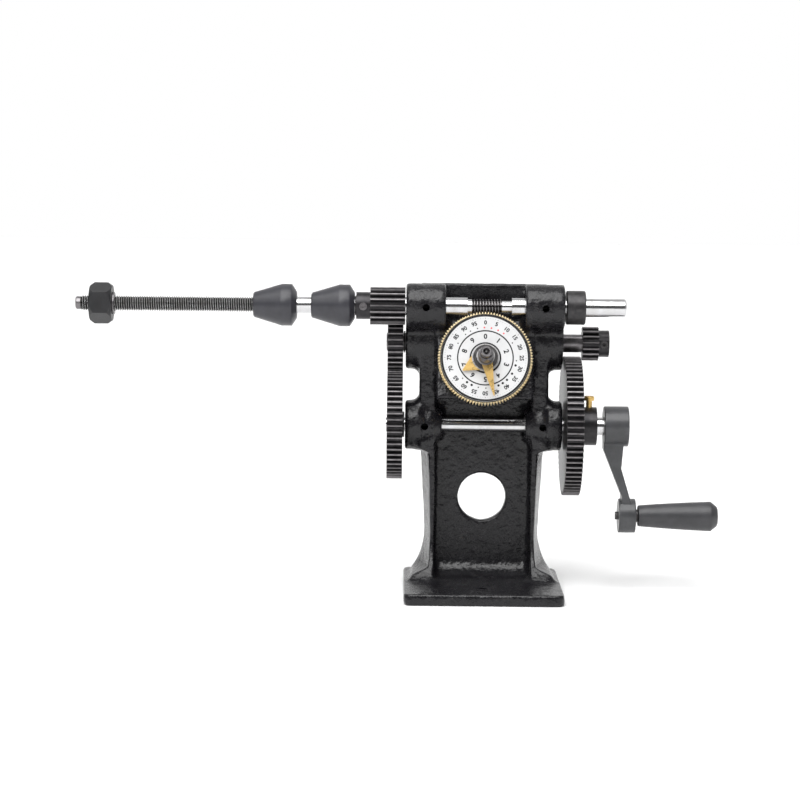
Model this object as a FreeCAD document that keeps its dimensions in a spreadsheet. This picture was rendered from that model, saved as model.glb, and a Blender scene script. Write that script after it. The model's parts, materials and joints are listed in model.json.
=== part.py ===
import FreeCAD, Part
import Sketcher
import math
import os
import re

# Hand-cranked coil winder, in millimetres.
# +X runs along the three shafts from the winding mandrel to the crank, -Y is the operator's side, +Z is up.
# The origin is the centre of the base's bottom face.

SIZES = [
    # casting
    ("base_width", 104, "base plate along the shafts"),
    ("base_depth", 104, "base plate from front to back"),
    ("base_thickness", 7.5, "base plate"),
    ("base_corner_radius", 5, "upright corners of the base plate"),
    ("bolt_hole_diameter", 6, "bench bolt holes"),
    ("front_bolt_inset", 26, "front bolt hole, behind the base's front edge"),
    ("rear_bolt_inset", 9, "rear bolt hole, before the base's back edge"),
    ("cheek_front", 8, "front face of the cheeks, behind the origin"),
    ("cheek_depth", 26, "cheeks from front to back"),
    ("cheek_gap", 64, "between the two cheeks"),
    ("cheek_thickness", 10.7, "each cheek, from the crankshaft up"),
    ("cheek_waist", 6.6, "each cheek at its thinnest, above the flared foot"),
    ("flare_height", 31.5, "flared foot of each cheek"),
    ("flare_spread", 10.9, "how far the foot reaches out sideways"),
    ("foot_front", 8, "front of the feet, before the origin"),
    ("flare_overlap", 0.3, "how deep the feet's rounds start inside the cheek"),
    ("web_thickness", 8, "back web between the cheeks"),
    ("web_height", 146, "top edge of the back web"),
    ("web_foot_radius", 12, "fillet between the web and the base"),
    ("web_hole_diameter", 32, "round window in the web"),
    ("web_hole_height", 60, "centre of the web window"),
    ("top_rail_height", 14, "rail that ties the cheeks at the top, above the spindle axis"),
    ("top_rail_drop", 17, "the same rail, below the spindle axis"),
    ("cap_depth", 14, "top of each cheek behind the spindle, from front to back"),
    ("top_boss_diameter", 30, "boss around the spindle bore"),
    ("top_boss_inner_gap", 52, "between the two spindle bosses"),
    ("lay_boss_diameter", 36, "boss around the layshaft bore"),
    ("neck_width", 18, "neck between the spindle boss and the layshaft boss"),
    ("crank_boss_diameter", 33, "outer boss around the crankshaft bore"),
    ("crank_boss_inner_diameter", 27, "boss around the same bore where it crosses the cheek"),
    ("crank_boss_nose_diameter", 19, "narrow end of the same boss, between the cheeks"),
    ("crank_boss_inner_gap", 55, "between the two narrow ends"),
    ("crank_boss_taper", 8, "tapered length of the same boss"),
    ("oil_hole_diameter", 4, "oil holes in the front of the bosses"),
    ("bridge_thickness", 6, "sloping plate that carries the counter"),
    ("bridge_top", 7, "upper edge of the bridge, along its slope from the spindle axis"),
    ("bridge_bottom", 61, "lower edge of the bridge, along its slope from the spindle axis"),
    # shaft places
    ("spindle_y", 6, "spindle axis behind the origin"),
    ("spindle_height", 189, "spindle axis above the bench"),
    ("lay_drop", 25, "layshaft axis below the spindle axis"),
    ("crank_drop", 54.5, "crankshaft axis below the layshaft axis"),
    ("running_clearance", 0.05, "radial, a shaft in its bore"),
    ("fixed_clearance", 0.02, "radial, a wheel or hub fastened on its shaft"),
    # gearing
    ("gear_module", 1.25, "all four steel gear pairs"),
    ("pressure_angle", 20, "degrees"),
    ("tooth_thinning", 0.24, "taken off each tooth's thickness for backlash"),
    ("gear_face", 10.3, "face width of the two left wheels"),
    ("large_gear_face", 11, "face width of the fast wheel"),
    ("large_gear_teeth", 72, "fast wheel on the crankshaft"),
    ("slow_gear_teeth", 56, "slow wheel on the crankshaft"),
    ("lay_pinion_teeth", 16, "pinion on the layshaft"),
    ("spindle_pinion_teeth", 18, "long pinion on the spindle"),
    ("side_clearance", 1, "between the casting and the nearest wheel"),
    ("shift_clearance", 1, "between a wheel and one that has been slid out of mesh"),
    # spindle
    ("mandrel_reach", 269, "left end of the spindle from the middle"),
    ("stub_reach", 92.3, "right end of the spindle from the middle"),
    ("spindle_diameter", 12, "spindle in its bearings"),
    ("mandrel_diameter", 10, "threaded part of the mandrel"),
    ("mandrel_shank_diameter", 10.7, "plain part of the mandrel"),
    ("mandrel_thread_length", 131, "threaded part of the mandrel"),
    ("pilot_diameter", 8.4, "turned-down tip of the mandrel"),
    ("pilot_length", 3, "turned-down tip of the mandrel"),
    ("end_chamfer", 1, "shaft ends"),
    ("worm_length", 19.6, "threaded part of the worm"),
    ("worm_start", 8.9, "left end of the worm, left of the middle"),
    ("worm_tip_diameter", 10.2, "outside of the worm"),
    ("worm_root_diameter", 7.3, "core of the worm"),
    ("worm_left_neck_diameter", 9.7, "relief at the left of the worm"),
    ("worm_left_neck_length", 2.9, "relief at the left of the worm"),
    ("worm_right_neck_diameter", 8, "relief at the right of the worm"),
    ("worm_right_neck_length", 6.6, "relief at the right of the worm"),
    ("worm_thread_root_width", 0.95, "thread at the core"),
    ("worm_thread_tip_width", 0.3, "thread at the tip"),
    # parts on the spindle
    ("spindle_pinion_face", 23, "toothed part of the long pinion"),
    ("spindle_pinion_hub_diameter", 17.8, "hub left of the teeth"),
    ("spindle_pinion_hub_length", 9.2, "hub left of the teeth"),
    ("pinion_neck_diameter", 12.8, "ring between the hub and the cone"),
    ("pinion_neck_length", 0.8, "ring between the hub and the cone"),
    ("collar_diameter", 22.3, "stop collar"),
    ("collar_length", 12.5, "stop collar"),
    ("cone_length", 28.6, "each clamping cone"),
    ("cone_taper_length", 18.6, "conical part"),
    ("cone_small_diameter", 16.4, "narrow end"),
    ("cone_large_diameter", 27.4, "wide end"),
    ("cone_chamfer_length", 3.2, "bevel at the wide end"),
    ("cone_chamfer_depth", 5.2, "bevel at the wide end"),
    ("cone_seat_gap", 0.2, "right cone to its shoulder"),
    ("cone_spacing", 9.4, "between the two cones"),
    ("nut_width", 23.5, "across flats"),
    ("nut_length", 14.6, "clamping nut"),
    ("nut_tip_distance", 9.5, "left face of the nut from the mandrel's tip"),
    ("nut_turn", -5, "degrees, rest position of the nut"),
    ("nut_chamfer", 3, "turned bevel on the nut's corners"),
    ("washer_diameter", 14.6, "loose washer beside the nut"),
    ("washer_thickness", 1.2, "loose washer beside the nut"),
    ("loose_gap", 0.2, "between the nut and its washer"),
    # parts on the layshaft
    ("lay_diameter", 12, "layshaft"),
    ("lay_pinion_gap", 1.3, "pinion to the large wheel when out of mesh"),
    ("lay_pinion_face", 10.7, "toothed part of the layshaft pinion"),
    ("lay_pinion_hub_diameter", 17.7, "hub right of the teeth"),
    ("lay_pinion_hub_length", 7, "hub right of the teeth"),
    ("shift_washer_diameter", 14.4, "washer between the casting and the layshaft wheel"),
    ("shift_washer_thickness", 1.1, "washer between the casting and the layshaft wheel"),
    ("wheel_gap", 1.7, "casting to the two left wheels"),
    ("pad_diameter", 5, "friction pad on the layshaft, and its screw"),
    ("pad_length", 3.5, "friction pad"),
    ("pad_inset", 6, "friction pad from the outer face of its boss"),
    # crankshaft and crank
    ("crank_diameter", 12, "right end of the crankshaft"),
    ("crank_slim_diameter", 9.5, "middle and left end of the crankshaft"),
    ("large_hub_diameter", 25.5, "hub of the large wheel"),
    ("large_hub_length", 11.2, "hub of the large wheel"),
    ("slow_hub_diameter", 17, "hub of the slow wheel"),
    ("slow_hub_length", 1.2, "hub of the slow wheel"),
    ("key_pin_diameter", 3, "pins that key the left wheels to their shafts"),
    ("crank_hub_gap", 5, "between the large wheel's hub and the crank"),
    ("crank_hub_diameter", 26.8, "crank's upper boss"),
    ("crank_hub_length", 16.3, "crank's upper boss"),
    ("crank_throw", 60, "crankshaft to grip"),
    ("crank_boss_end_diameter", 22.8, "crank's lower boss"),
    ("crank_boss_end_length", 11.3, "crank's lower boss"),
    ("crank_offset", 10.9, "lower boss sits this much further out than the upper one"),
    ("crank_arm_width", 15, "bar of the crank, front to back"),
    ("crank_arm_upper_thickness", 13.1, "bar below the upper boss"),
    ("crank_arm_lower_thickness", 5, "bar above the lower boss"),
    ("grip_pin_diameter", 5.3, "pin that the grip turns on"),
    ("grip_pin_head", 2, "riveted end that stands out of the lower boss"),
    ("grip_pin_length", 43, "pin inside the grip"),
    ("grip_gap", 0.1, "between the boss, the washer and the grip"),
    ("grip_washer_diameter", 8.4, "washer between the crank and the grip"),
    ("grip_washer_thickness", 1.6, "washer between the crank and the grip"),
    ("grip_length", 53.2, "grip"),
    ("grip_inner_diameter", 14.2, "grip at the crank"),
    ("grip_outer_diameter", 19.9, "grip near its free end"),
    ("grip_nose_length", 5.2, "rounded free end"),
    ("grip_nose_diameter", 15, "flat of the free end"),
    # screws
    ("set_screw_diameter", 5, "set screws"),
    ("set_screw_socket", 2.5, "round socket in a set screw"),
    ("set_screw_socket_depth", 2, "round socket in a set screw"),
    ("head_screw_diameter", 4, "brass screw of the large wheel"),
    ("head_screw_exposed", 4.5, "its shank above the hub"),
    ("head_screw_head_diameter", 6.9, "its head"),
    ("head_screw_head_height", 2.9, "its head"),
    ("head_screw_slot", 1, "its slot"),
    # counter
    ("dial_tilt", 18, "degrees that the dial leans back"),
    ("counter_module", 0.61, "worm and both brass wheels"),
    ("counter_teeth", 100, "dial wheel, one tooth for each turn of the spindle"),
    ("hundreds_teeth", 96, "wheel behind the dial, cut on the same diameter"),
    ("counter_thinning", 0.32, "taken off each brass tooth for backlash"),
    ("worm_pitch_diameter", 9.2, "worm"),
    ("wheel_thickness", 2.5, "each brass wheel"),
    ("wheel_side_gap", 0.15, "between neighbouring parts on the post"),
    ("dial_plate_thickness", 0.8, "printed plate"),
    ("dial_plate_diameter", 58.2, "printed plate"),
    ("dial_hub_diameter", 20.6, "raised hub of the dial wheel"),
    ("dial_hub_rise", 0.5, "hub above the printed plate"),
    ("sleeve_diameter", 16.2, "sleeve of the hundreds wheel"),
    ("sleeve_length", 6.9, "sleeve in front of the hundreds wheel"),
    ("post_diameter", 8, "post under the sleeve"),
    ("post_tip_diameter", 7.2, "front of the post"),
    ("post_reach", 23, "front end of the post from the worm's plane"),
    ("post_thread_diameter", 6, "rear of the post"),
    ("post_hole_diameter", 3.2, "centre hole in the post's front end"),
    ("post_hole_depth", 5, "centre hole in the post's front end"),
    ("post_nut_width", 10, "across flats"),
    ("post_nut_thickness", 5, "nut behind the bridge"),
    ("pad_washer_thickness", 0.6, "spring washer behind the wheels"),
    ("pad_washer_diameter", 14, "spring washer behind the wheels"),
    ("pointer_thickness", 0.8, "both pointers"),
    ("pointer_ring_width", 0.8, "ring of each pointer around its carrier"),
    ("pointer_tip_width", 0.6, "both pointers"),
    ("long_pointer_reach", 27, "tip from the post's axis"),
    ("long_pointer_width", 7.4, "at its hub"),
    ("long_pointer_turn", 12, "degrees from straight down"),
    ("short_pointer_reach", 17.4, "tip from the post's axis"),
    ("short_pointer_width", 11, "at the sleeve"),
    ("short_pointer_turn", -59, "degrees from straight down"),
    ("short_pointer_height", 1.2, "above the printed plate"),
    ("long_pointer_height", 1, "above the back of its hub"),
    ("pointer_hub_diameter", 10.4, "hub of the long pointer"),
    ("pointer_hub_length", 7, "hub of the long pointer"),
    ("pointer_hub_nose_length", 3, "tapered front of the hub"),
]

doc = FreeCAD.newDocument("coil_winder")
sheet = doc.addObject("Spreadsheet::Sheet", "Sizes")
for row, (alias, number, note) in enumerate(SIZES, start=1):
    sheet.set(f"A{row}", alias)
    sheet.set(f"B{row}", str(number))
    sheet.setAlias(f"B{row}", alias)
    sheet.set(f"C{row}", note)
doc.recompute()

nodes = {}


def formula(text):
    """An expression with every size's name pointed at its cell."""
    return re.sub(r"(?<![.\w])[a-z]+(?:_[a-z]+)+", lambda word: "Sizes." + word.group(), text)


def value(text):
    """The number that an expression gives now."""
    result = sheet.evalExpression(formula(text))
    return float(getattr(result, "Value", result))


def bind(item, name, text):
    item.setExpression(name, formula(text))


# ---------------------------------------------------------------- shaft axes and stations, as expressions

LAY_GEAR_TEETH = "(large_gear_teeth + lay_pinion_teeth - slow_gear_teeth)"
LAY_TO_SPINDLE = f"((spindle_pinion_teeth + {LAY_GEAR_TEETH}) * gear_module / 2)"
LAY_TO_CRANK = "((large_gear_teeth + lay_pinion_teeth) * gear_module / 2)"
LAY_Y = f"(spindle_y + sqrt({LAY_TO_SPINDLE} ^ 2 - lay_drop ^ 2))"
LAY_Z = "(spindle_height - lay_drop)"
CRANK_Y = f"({LAY_Y} - sqrt({LAY_TO_CRANK} ^ 2 - crank_drop ^ 2))"
CRANK_Z = f"({LAY_Z} - crank_drop)"

SPINDLE = ("spindle_y", "spindle_height")
LAYSHAFT = (LAY_Y, LAY_Z)
CRANKSHAFT = (CRANK_Y, CRANK_Z)
GRIP = (CRANK_Y, f"({CRANK_Z} - crank_throw)")

CASTING_HALF = "(base_width / 2)"
CHEEK_INNER = "(cheek_gap / 2)"
CHEEK_OUTER = "(cheek_gap / 2 + cheek_thickness)"
CHEEK_WAIST = "(cheek_gap / 2 + cheek_waist)"
CHEEK_BACK = "(cheek_front + cheek_depth)"
FOOT_TOP = "(base_thickness + flare_height)"
OIL_HOLE = "((top_boss_inner_gap / 2 + base_width / 2) / 2)"

LARGE_GEAR_START = f"({CASTING_HALF} + side_clearance)"
LARGE_GEAR_END = f"({LARGE_GEAR_START} + large_gear_face)"
LARGE_HUB_END = f"({LARGE_GEAR_END} + large_hub_length)"
CRANK_START = f"({LARGE_HUB_END} + crank_hub_gap)"
CRANK_END = f"({CRANK_START} + crank_hub_length)"
CRANK_BOSS_START = f"({CRANK_START} + crank_offset)"
CRANK_BOSS_END = f"({CRANK_BOSS_START} + crank_boss_end_length)"
GRIP_WASHER_START = f"({CRANK_BOSS_END} + grip_gap)"
GRIP_START = f"({GRIP_WASHER_START} + grip_washer_thickness + grip_gap)"
LEFT_WHEEL_START = f"(-{CASTING_HALF} - wheel_gap - gear_face)"
SHIFT = "(gear_face + shift_clearance)"
LAY_PINION_START = f"({LARGE_GEAR_END} + lay_pinion_gap)"
LAY_PINION_TEETH_END = f"({LAY_PINION_START} + lay_pinion_face)"
LAY_END = f"({LAY_PINION_TEETH_END} + lay_pinion_hub_length)"
PAD_PLACE = f"({CASTING_HALF} - pad_inset)"
SPINDLE_PINION_END = f"(-{CASTING_HALF} - side_clearance * 0.6)"
SPINDLE_PINION_START = f"({SPINDLE_PINION_END} - spindle_pinion_face)"
SPINDLE_HUB_START = f"({SPINDLE_PINION_START} - spindle_pinion_hub_length)"
SHOULDER = f"({SPINDLE_HUB_START} - pinion_neck_length)"
COLLAR_START = f"({CASTING_HALF} + side_clearance)"
RIGHT_CONE_START = f"({SHOULDER} - cone_seat_gap - cone_length)"
LEFT_CONE_START = f"({RIGHT_CONE_START} - cone_spacing - cone_length)"
NUT_START = "(-mandrel_reach + nut_tip_distance)"

# Counter post: distances "out" run along the dial's normal and distances "down" run down its slope, both from
# the spindle axis.
DIAL_DROP = "((counter_module * counter_teeth + worm_pitch_diameter) / 2)"


def slope_y(out, down):
    return f"(spindle_y - ({out}) * cos(dial_tilt) - ({down}) * sin(dial_tilt))"


def slope_z(out, down):
    return f"(spindle_height + ({out}) * sin(dial_tilt) - ({down}) * cos(dial_tilt))"


HUNDREDS_BACK = "(-wheel_side_gap / 2 - wheel_thickness)"
DIAL_BACK = "(wheel_side_gap / 2)"
PLATE_BACK = f"({DIAL_BACK} + wheel_thickness)"
PLATE_FRONT = f"({PLATE_BACK} + dial_plate_thickness)"
PAD_WASHER_BACK = f"({HUNDREDS_BACK} - wheel_side_gap - pad_washer_thickness)"
BRIDGE_FRONT = f"({PAD_WASHER_BACK} - wheel_side_gap)"
BRIDGE_BACK = f"({BRIDGE_FRONT} - bridge_thickness)"
SLEEVE_FRONT = "(sleeve_length - wheel_side_gap / 2)"
POINTER_HUB_BACK = f"({SLEEVE_FRONT} + wheel_side_gap)"


# ---------------------------------------------------------------- builders

ALONG_X = FreeCAD.Rotation(FreeCAD.Vector(0, 1, 0), 90)
UPRIGHT = FreeCAD.Rotation()
TO_FRONT = FreeCAD.Rotation(FreeCAD.Vector(1, 0, 0), 90)
TO_BACK = FreeCAD.Rotation(FreeCAD.Vector(-1, 0, 0), 90)


def put(item, x, y, z, rotation):
    """Places an item by three expressions and a fixed rotation."""
    item.Placement = FreeCAD.Placement(FreeCAD.Vector(value(x), value(y), value(z)), rotation)
    bind(item, "Placement.Base.x", x)
    bind(item, "Placement.Base.y", y)
    bind(item, "Placement.Base.z", z)
    return item


def lean(item, out, down, angle):
    """Places an item on the dial's slope; angle is its turn about X, as an expression."""
    turn = FreeCAD.Rotation(FreeCAD.Vector(1, 0, 0), value(angle))
    put(item, "0", slope_y(out, down), slope_z(out, down), turn)
    bind(item, "Placement.Rotation.Angle", angle)
    return item


def turned(label, profile, holes=None):
    """A turned body about its own Z axis. The profile's corners are (radius, height) expressions."""
    body = doc.addObject("PartDesign::Body", label)
    plane = [item for item in body.Origin.OriginFeatures if item.Role == "XZ_Plane"][0]
    sketch = body.newObject("Sketcher::SketchObject", label + "_profile")
    sketch.AttachmentSupport = [(plane, "")]
    sketch.MapMode = "FlatFace"
    draw_outline(sketch, profile)
    turning = body.newObject("PartDesign::Revolution", label + "_turning")
    turning.Profile = sketch
    turning.ReferenceAxis = (sketch, ["V_Axis"])
    turning.Angle = 360
    return body


def draw_outline(sketch, outline):
    """Closed outline of straight lines. Its corners are pairs of expressions, and each is held by both."""
    corners = [FreeCAD.Vector(value(across), value(up), 0) for across, up in outline]
    count = len(corners)
    for index in range(count):
        sketch.addGeometry(Part.LineSegment(corners[index], corners[(index + 1) % count]), False)
    for index in range(count):
        sketch.addConstraint(Sketcher.Constraint("Coincident", index, 2, (index + 1) % count, 1))
    for index, (across, up) in enumerate(outline):
        pin_corner(sketch, index, "DistanceX", corners[index].x, across, -2)
        pin_corner(sketch, index, "DistanceY", corners[index].y, up, -1)


def pin_corner(sketch, index, kind, number, text, axis):
    """Holds a corner on an axis where its coordinate is nought, otherwise at its distance from the origin."""
    if text == "0":
        sketch.addConstraint(Sketcher.Constraint("PointOnObject", index, 1, axis))
        return
    constraint = sketch.addConstraint(Sketcher.Constraint(kind, -1, 1, index, 1, number))
    bind(sketch, f"Constraints[{constraint}]", text)


def cylinder(label, diameter, length):
    item = doc.addObject("Part::Cylinder", label)
    bind(item, "Radius", f"({diameter}) / 2")
    bind(item, "Height", length)
    return item


def box(label, length, width, height):
    item = doc.addObject("Part::Box", label)
    bind(item, "Length", length)
    bind(item, "Width", width)
    bind(item, "Height", height)
    return item


def fused(label, shapes):
    item = doc.addObject("Part::MultiFuse", label)
    item.Shapes = shapes
    item.Refine = True
    return item


def cut(label, base, tool):
    item = doc.addObject("Part::Cut", label)
    item.Base = base
    item.Tool = tool
    return item


def cut_all(label, base, tools):
    """Takes several tools away, one after another."""
    for index, tool in enumerate(tools):
        last = index == len(tools) - 1
        base = cut(label if last else f"{label}_step_{index + 1}", base, tool)
    return base


def keep(label, item):
    item.Label = label
    nodes[label] = item
    return item


def tube_profile(bore, outside, length):
    return [
        (f"({bore}) / 2", "0"),
        (f"({outside}) / 2", "0"),
        (f"({outside}) / 2", length),
        (f"({bore}) / 2", length),
    ]


def direction(start, end):
    """Angle in the YZ plane from one shaft to another, about +X."""
    return math.atan2(value(end[1]) - value(start[1]), value(end[0]) - value(start[0]))


def involute(angle):
    return math.tan(angle) - angle


def tooth_outline(teeth, module, thinning, phase):
    """Closed wire of an involute gear in the YZ plane, with the middle of one tooth at the phase angle."""
    pressure = math.radians(value("pressure_angle"))
    pitch_radius = module * teeth / 2
    base_radius = pitch_radius * math.cos(pressure)
    tip_radius = pitch_radius + module
    root_radius = pitch_radius - 1.25 * module
    flank_radius = max(base_radius, root_radius)
    half_at_pitch = math.pi / (2 * teeth) - thinning / (2 * pitch_radius)

    def half_angle(radius):
        return half_at_pitch + involute(pressure) - involute(math.acos(min(1, base_radius / radius)))

    def point(radius, angle):
        return FreeCAD.Vector(0, radius * math.cos(angle), radius * math.sin(angle))

    def arc(radii, angles):
        places = [point(radius, angle) for radius, angle in zip(radii, angles)]
        return Part.Arc(*places).toShape()

    middle_radius = (flank_radius + tip_radius) / 2
    flank = [flank_radius, middle_radius, tip_radius]
    spread = [half_angle(radius) for radius in flank]
    edges = []
    for tooth in range(teeth):
        centre = phase + 2 * math.pi * tooth / teeth
        following = centre + 2 * math.pi / teeth
        rising = [centre - half for half in spread]
        falling = [centre + half for half in reversed(spread)]
        root_start = centre + spread[0]
        root_end = following - spread[0]
        if root_radius < flank_radius:
            edges.append(Part.makeLine(point(root_radius, rising[0]), point(flank_radius, rising[0])))
        edges.append(arc(flank, rising))
        edges.append(arc([tip_radius] * 3, [rising[2], centre, falling[0]]))
        edges.append(arc(flank[::-1], falling))
        if root_radius < flank_radius:
            edges.append(Part.makeLine(point(flank_radius, falling[2]), point(root_radius, falling[2])))
        edges.append(arc([root_radius] * 3, [root_start, (root_start + root_end) / 2, root_end]))
    return Part.Wire(edges)


def toothed_ring(label, teeth, module, thinning, phase, face):
    """Toothed blank from X = 0 to its face width, about the X axis."""
    outline = doc.addObject("Part::Feature", label + "_outline")
    outline.Shape = tooth_outline(round(value(teeth)), value(module), value(thinning), phase)
    ring = doc.addObject("Part::Extrusion", label + "_ring")
    ring.Base = outline
    ring.DirMode = "Custom"
    ring.Dir = FreeCAD.Vector(1, 0, 0)
    ring.Solid = True
    bind(ring, "LengthFwd", face)
    return ring


def steel_gear(label, teeth, phase, face, axis, start, bore, hubs=()):
    """Spur gear on a shaft. Each hub is (diameter, length, start)."""
    ring = toothed_ring(label, teeth, "gear_module", "tooth_thinning", phase, face)
    blanks = [put(ring, start, *axis, UPRIGHT)]
    for number, (diameter, length, hub_start) in enumerate(hubs, start=1):
        blanks.append(put(cylinder(f"{label}_hub_{number}", diameter, length), hub_start, *axis, ALONG_X))
    blank = fused(label + "_blank", blanks) if len(blanks) > 1 else ring
    through = put(cylinder(label + "_bore", bore, "base_width * 2"), "-base_width", *axis, ALONG_X)
    return cut(label + "_bored", blank, through)


def set_screw(label, axis, x, inner, outer, rotation, toward):
    """Set screw across a shaft, from one radius to another, with the hole that it needs."""
    y, z = axis
    sign_y, sign_z = toward
    length = f"({outer}) - ({inner})"
    screw = turned(label, [
        ("0", "0"),
        ("set_screw_diameter / 2", "0"),
        ("set_screw_diameter / 2", length),
        ("set_screw_socket / 2", length),
        ("set_screw_socket / 2", f"{length} - set_screw_socket_depth"),
        ("0", f"{length} - set_screw_socket_depth"),
    ])
    place = (x, f"{y} + ({sign_y}) * ({inner})", f"{z} + ({sign_z}) * ({inner})")
    put(screw, *place, rotation)
    keep(label, screw)
    hole = cylinder(label + "_hole", "set_screw_diameter + fixed_clearance * 2", f"({outer}) * 2")
    return put(hole, x, y, z, rotation)


FRONT = (TO_FRONT, ("-1", "0"))
BACK = (TO_BACK, ("1", "0"))
TOP = (UPRIGHT, ("0", "1"))


# ---------------------------------------------------------------- casting

def base_plate():
    """Base plate with rounded upright corners."""
    body = doc.addObject("PartDesign::Body", "base_plate")
    plane = [item for item in body.Origin.OriginFeatures if item.Role == "XY_Plane"][0]
    sketch = body.newObject("Sketcher::SketchObject", "base_outline")
    sketch.AttachmentSupport = [(plane, "")]
    sketch.MapMode = "FlatFace"
    half_width = value("base_width / 2")
    half_depth = value("base_depth / 2")
    corners = [
        FreeCAD.Vector(-half_width, -half_depth, 0),
        FreeCAD.Vector(half_width, -half_depth, 0),
        FreeCAD.Vector(half_width, half_depth, 0),
        FreeCAD.Vector(-half_width, half_depth, 0),
    ]
    for index in range(4):
        sketch.addGeometry(Part.LineSegment(corners[index], corners[(index + 1) % 4]), False)
    for index in range(4):
        sketch.addConstraint(Sketcher.Constraint("Coincident", index, 2, (index + 1) % 4, 1))
    for line, kind in enumerate(("Horizontal", "Vertical", "Horizontal", "Vertical")):
        sketch.addConstraint(Sketcher.Constraint(kind, line))
    sketch.addConstraint(Sketcher.Constraint("Symmetric", 0, 1, 2, 1, -1, 1))
    for kind, line, size in (("DistanceX", 0, "base_width"), ("DistanceY", 1, "base_depth")):
        constraint = sketch.addConstraint(Sketcher.Constraint(kind, line, 1, line, 2, value(size)))
        bind(sketch, f"Constraints[{constraint}]", size)
    pad = body.newObject("PartDesign::Pad", "base_pad")
    pad.Profile = sketch
    bind(pad, "Length", "base_thickness")
    doc.recompute()
    upright = [
        f"Edge{number}"
        for number, edge in enumerate(pad.Shape.Edges, start=1)
        if abs(edge.tangentAt(edge.FirstParameter).z) > 0.99
    ]
    rounding = body.newObject("PartDesign::Fillet", "base_corners")
    rounding.Base = (pad, upright)
    bind(rounding, "Radius", "base_corner_radius")
    return body


def cheek_plate(name, sign):
    """Upright plate that is thinner towards its foot, as a padded outline in the XZ plane."""
    body = doc.addObject("PartDesign::Body", name + "_plate")
    plane = [item for item in body.Origin.OriginFeatures if item.Role == "XZ_Plane"][0]
    sketch = body.newObject("Sketcher::SketchObject", name + "_outline")
    sketch.AttachmentSupport = [(plane, "")]
    sketch.MapMode = "FlatFace"
    draw_outline(sketch, [
        (sign + CHEEK_INNER, "0"),
        (sign + CHEEK_WAIST, "0"),
        (sign + CHEEK_WAIST, FOOT_TOP),
        (sign + CHEEK_OUTER, CRANK_Z),
        (sign + CHEEK_OUTER, "spindle_height"),
        (sign + CHEEK_INNER, "spindle_height"),
    ])
    pad = body.newObject("PartDesign::Pad", name + "_pad")
    pad.Profile = sketch
    pad.Midplane = True
    bind(pad, "Length", "cheek_depth")
    return put(body, "0", "cheek_front + cheek_depth / 2", "0", UPRIGHT)


def cheek_foot(name, sign, across):
    """Foot that flares out sideways and to the front: a block less two large rounds."""
    begin, reach = across(CHEEK_INNER, f"{CHEEK_WAIST} + flare_spread")
    depth = f"({CHEEK_BACK} + foot_front)"
    block = box(name + "_foot_block", reach, depth, "flare_height")
    put(block, begin, "-foot_front", "base_thickness", UPRIGHT)

    side_radius = "((flare_height ^ 2 + flare_spread ^ 2) / (2 * flare_spread))"
    side_round = cylinder(name + "_side_round", f"2 * {side_radius}", f"{depth} + 2")
    side_centre = f"{sign}({CHEEK_WAIST} - flare_overlap + {side_radius})"
    put(side_round, side_centre, f"{CHEEK_BACK} + 1", FOOT_TOP, TO_FRONT)

    swell = "(cheek_front + foot_front)"
    front_radius = f"((flare_height ^ 2 + {swell} ^ 2) / (2 * {swell}))"
    front_round = cylinder(name + "_front_round", f"2 * {front_radius}", "base_width * 2")
    put(front_round, "-base_width", f"cheek_front + flare_overlap - {front_radius}", FOOT_TOP, ALONG_X)
    return cut_all(name + "_foot", block, [side_round, front_round])


def cheek(side, name):
    """One cheek with its bosses and its flared foot. side is -1 on the left and 1 on the right."""
    left = side < 0
    sign = "-" if left else ""

    def across(inner, outer):
        """Start and length of a stretch between two distances from the middle."""
        return (f"-({outer})" if left else inner, f"({outer}) - ({inner})")

    parts = [cheek_plate(name, sign), cheek_foot(name, sign, across)]

    start, length = across(CHEEK_INNER, CHEEK_OUTER)
    cap = box(name + "_cap", length, "cap_depth", "top_rail_height")
    parts.append(put(cap, start, f"{CHEEK_BACK} - cap_depth", "spindle_height", UPRIGHT))

    def boss(label, diameter, inner, outer, axis):
        begin, reach = across(inner, outer)
        parts.append(put(cylinder(f"{name}_{label}", diameter, reach), begin, *axis, ALONG_X))

    boss("spindle_boss", "top_boss_diameter", "top_boss_inner_gap / 2", CASTING_HALF, SPINDLE)
    boss("lay_boss", "lay_boss_diameter", CHEEK_INNER, CASTING_HALF, LAYSHAFT)
    boss("crank_boss", "crank_boss_diameter", f"({CHEEK_OUTER} - 1)", CASTING_HALF, CRANKSHAFT)

    nose = "(crank_boss_inner_gap / 2)"
    taper_end = f"({nose} + crank_boss_taper)"
    boss("inner_boss", "crank_boss_inner_diameter", taper_end, CHEEK_OUTER, CRANKSHAFT)
    begin, reach = across(nose, taper_end)
    taper = doc.addObject("Part::Cone", name + "_taper")
    narrow, wide = ("Radius2", "Radius1") if left else ("Radius1", "Radius2")
    bind(taper, narrow, "crank_boss_nose_diameter / 2")
    bind(taper, wide, "crank_boss_inner_diameter / 2")
    bind(taper, "Height", reach)
    parts.append(put(taper, begin, *CRANKSHAFT, ALONG_X))

    # the neck that joins the spindle boss and the layshaft boss
    begin, reach = across(CHEEK_INNER, CASTING_HALF)
    neck = box(name + "_neck", reach, "neck_width", LAY_TO_SPINDLE)
    turn = math.degrees(direction(LAYSHAFT, SPINDLE)) - 90
    slope = f"(lay_drop / {LAY_TO_SPINDLE})"
    setback = f"(({LAY_Y} - spindle_y) / {LAY_TO_SPINDLE})"
    put(neck, begin, f"{LAY_Y} - neck_width / 2 * {slope}", f"{LAY_Z} - neck_width / 2 * {setback}",
        FreeCAD.Rotation(FreeCAD.Vector(1, 0, 0), turn))
    parts.append(neck)
    return parts


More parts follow.
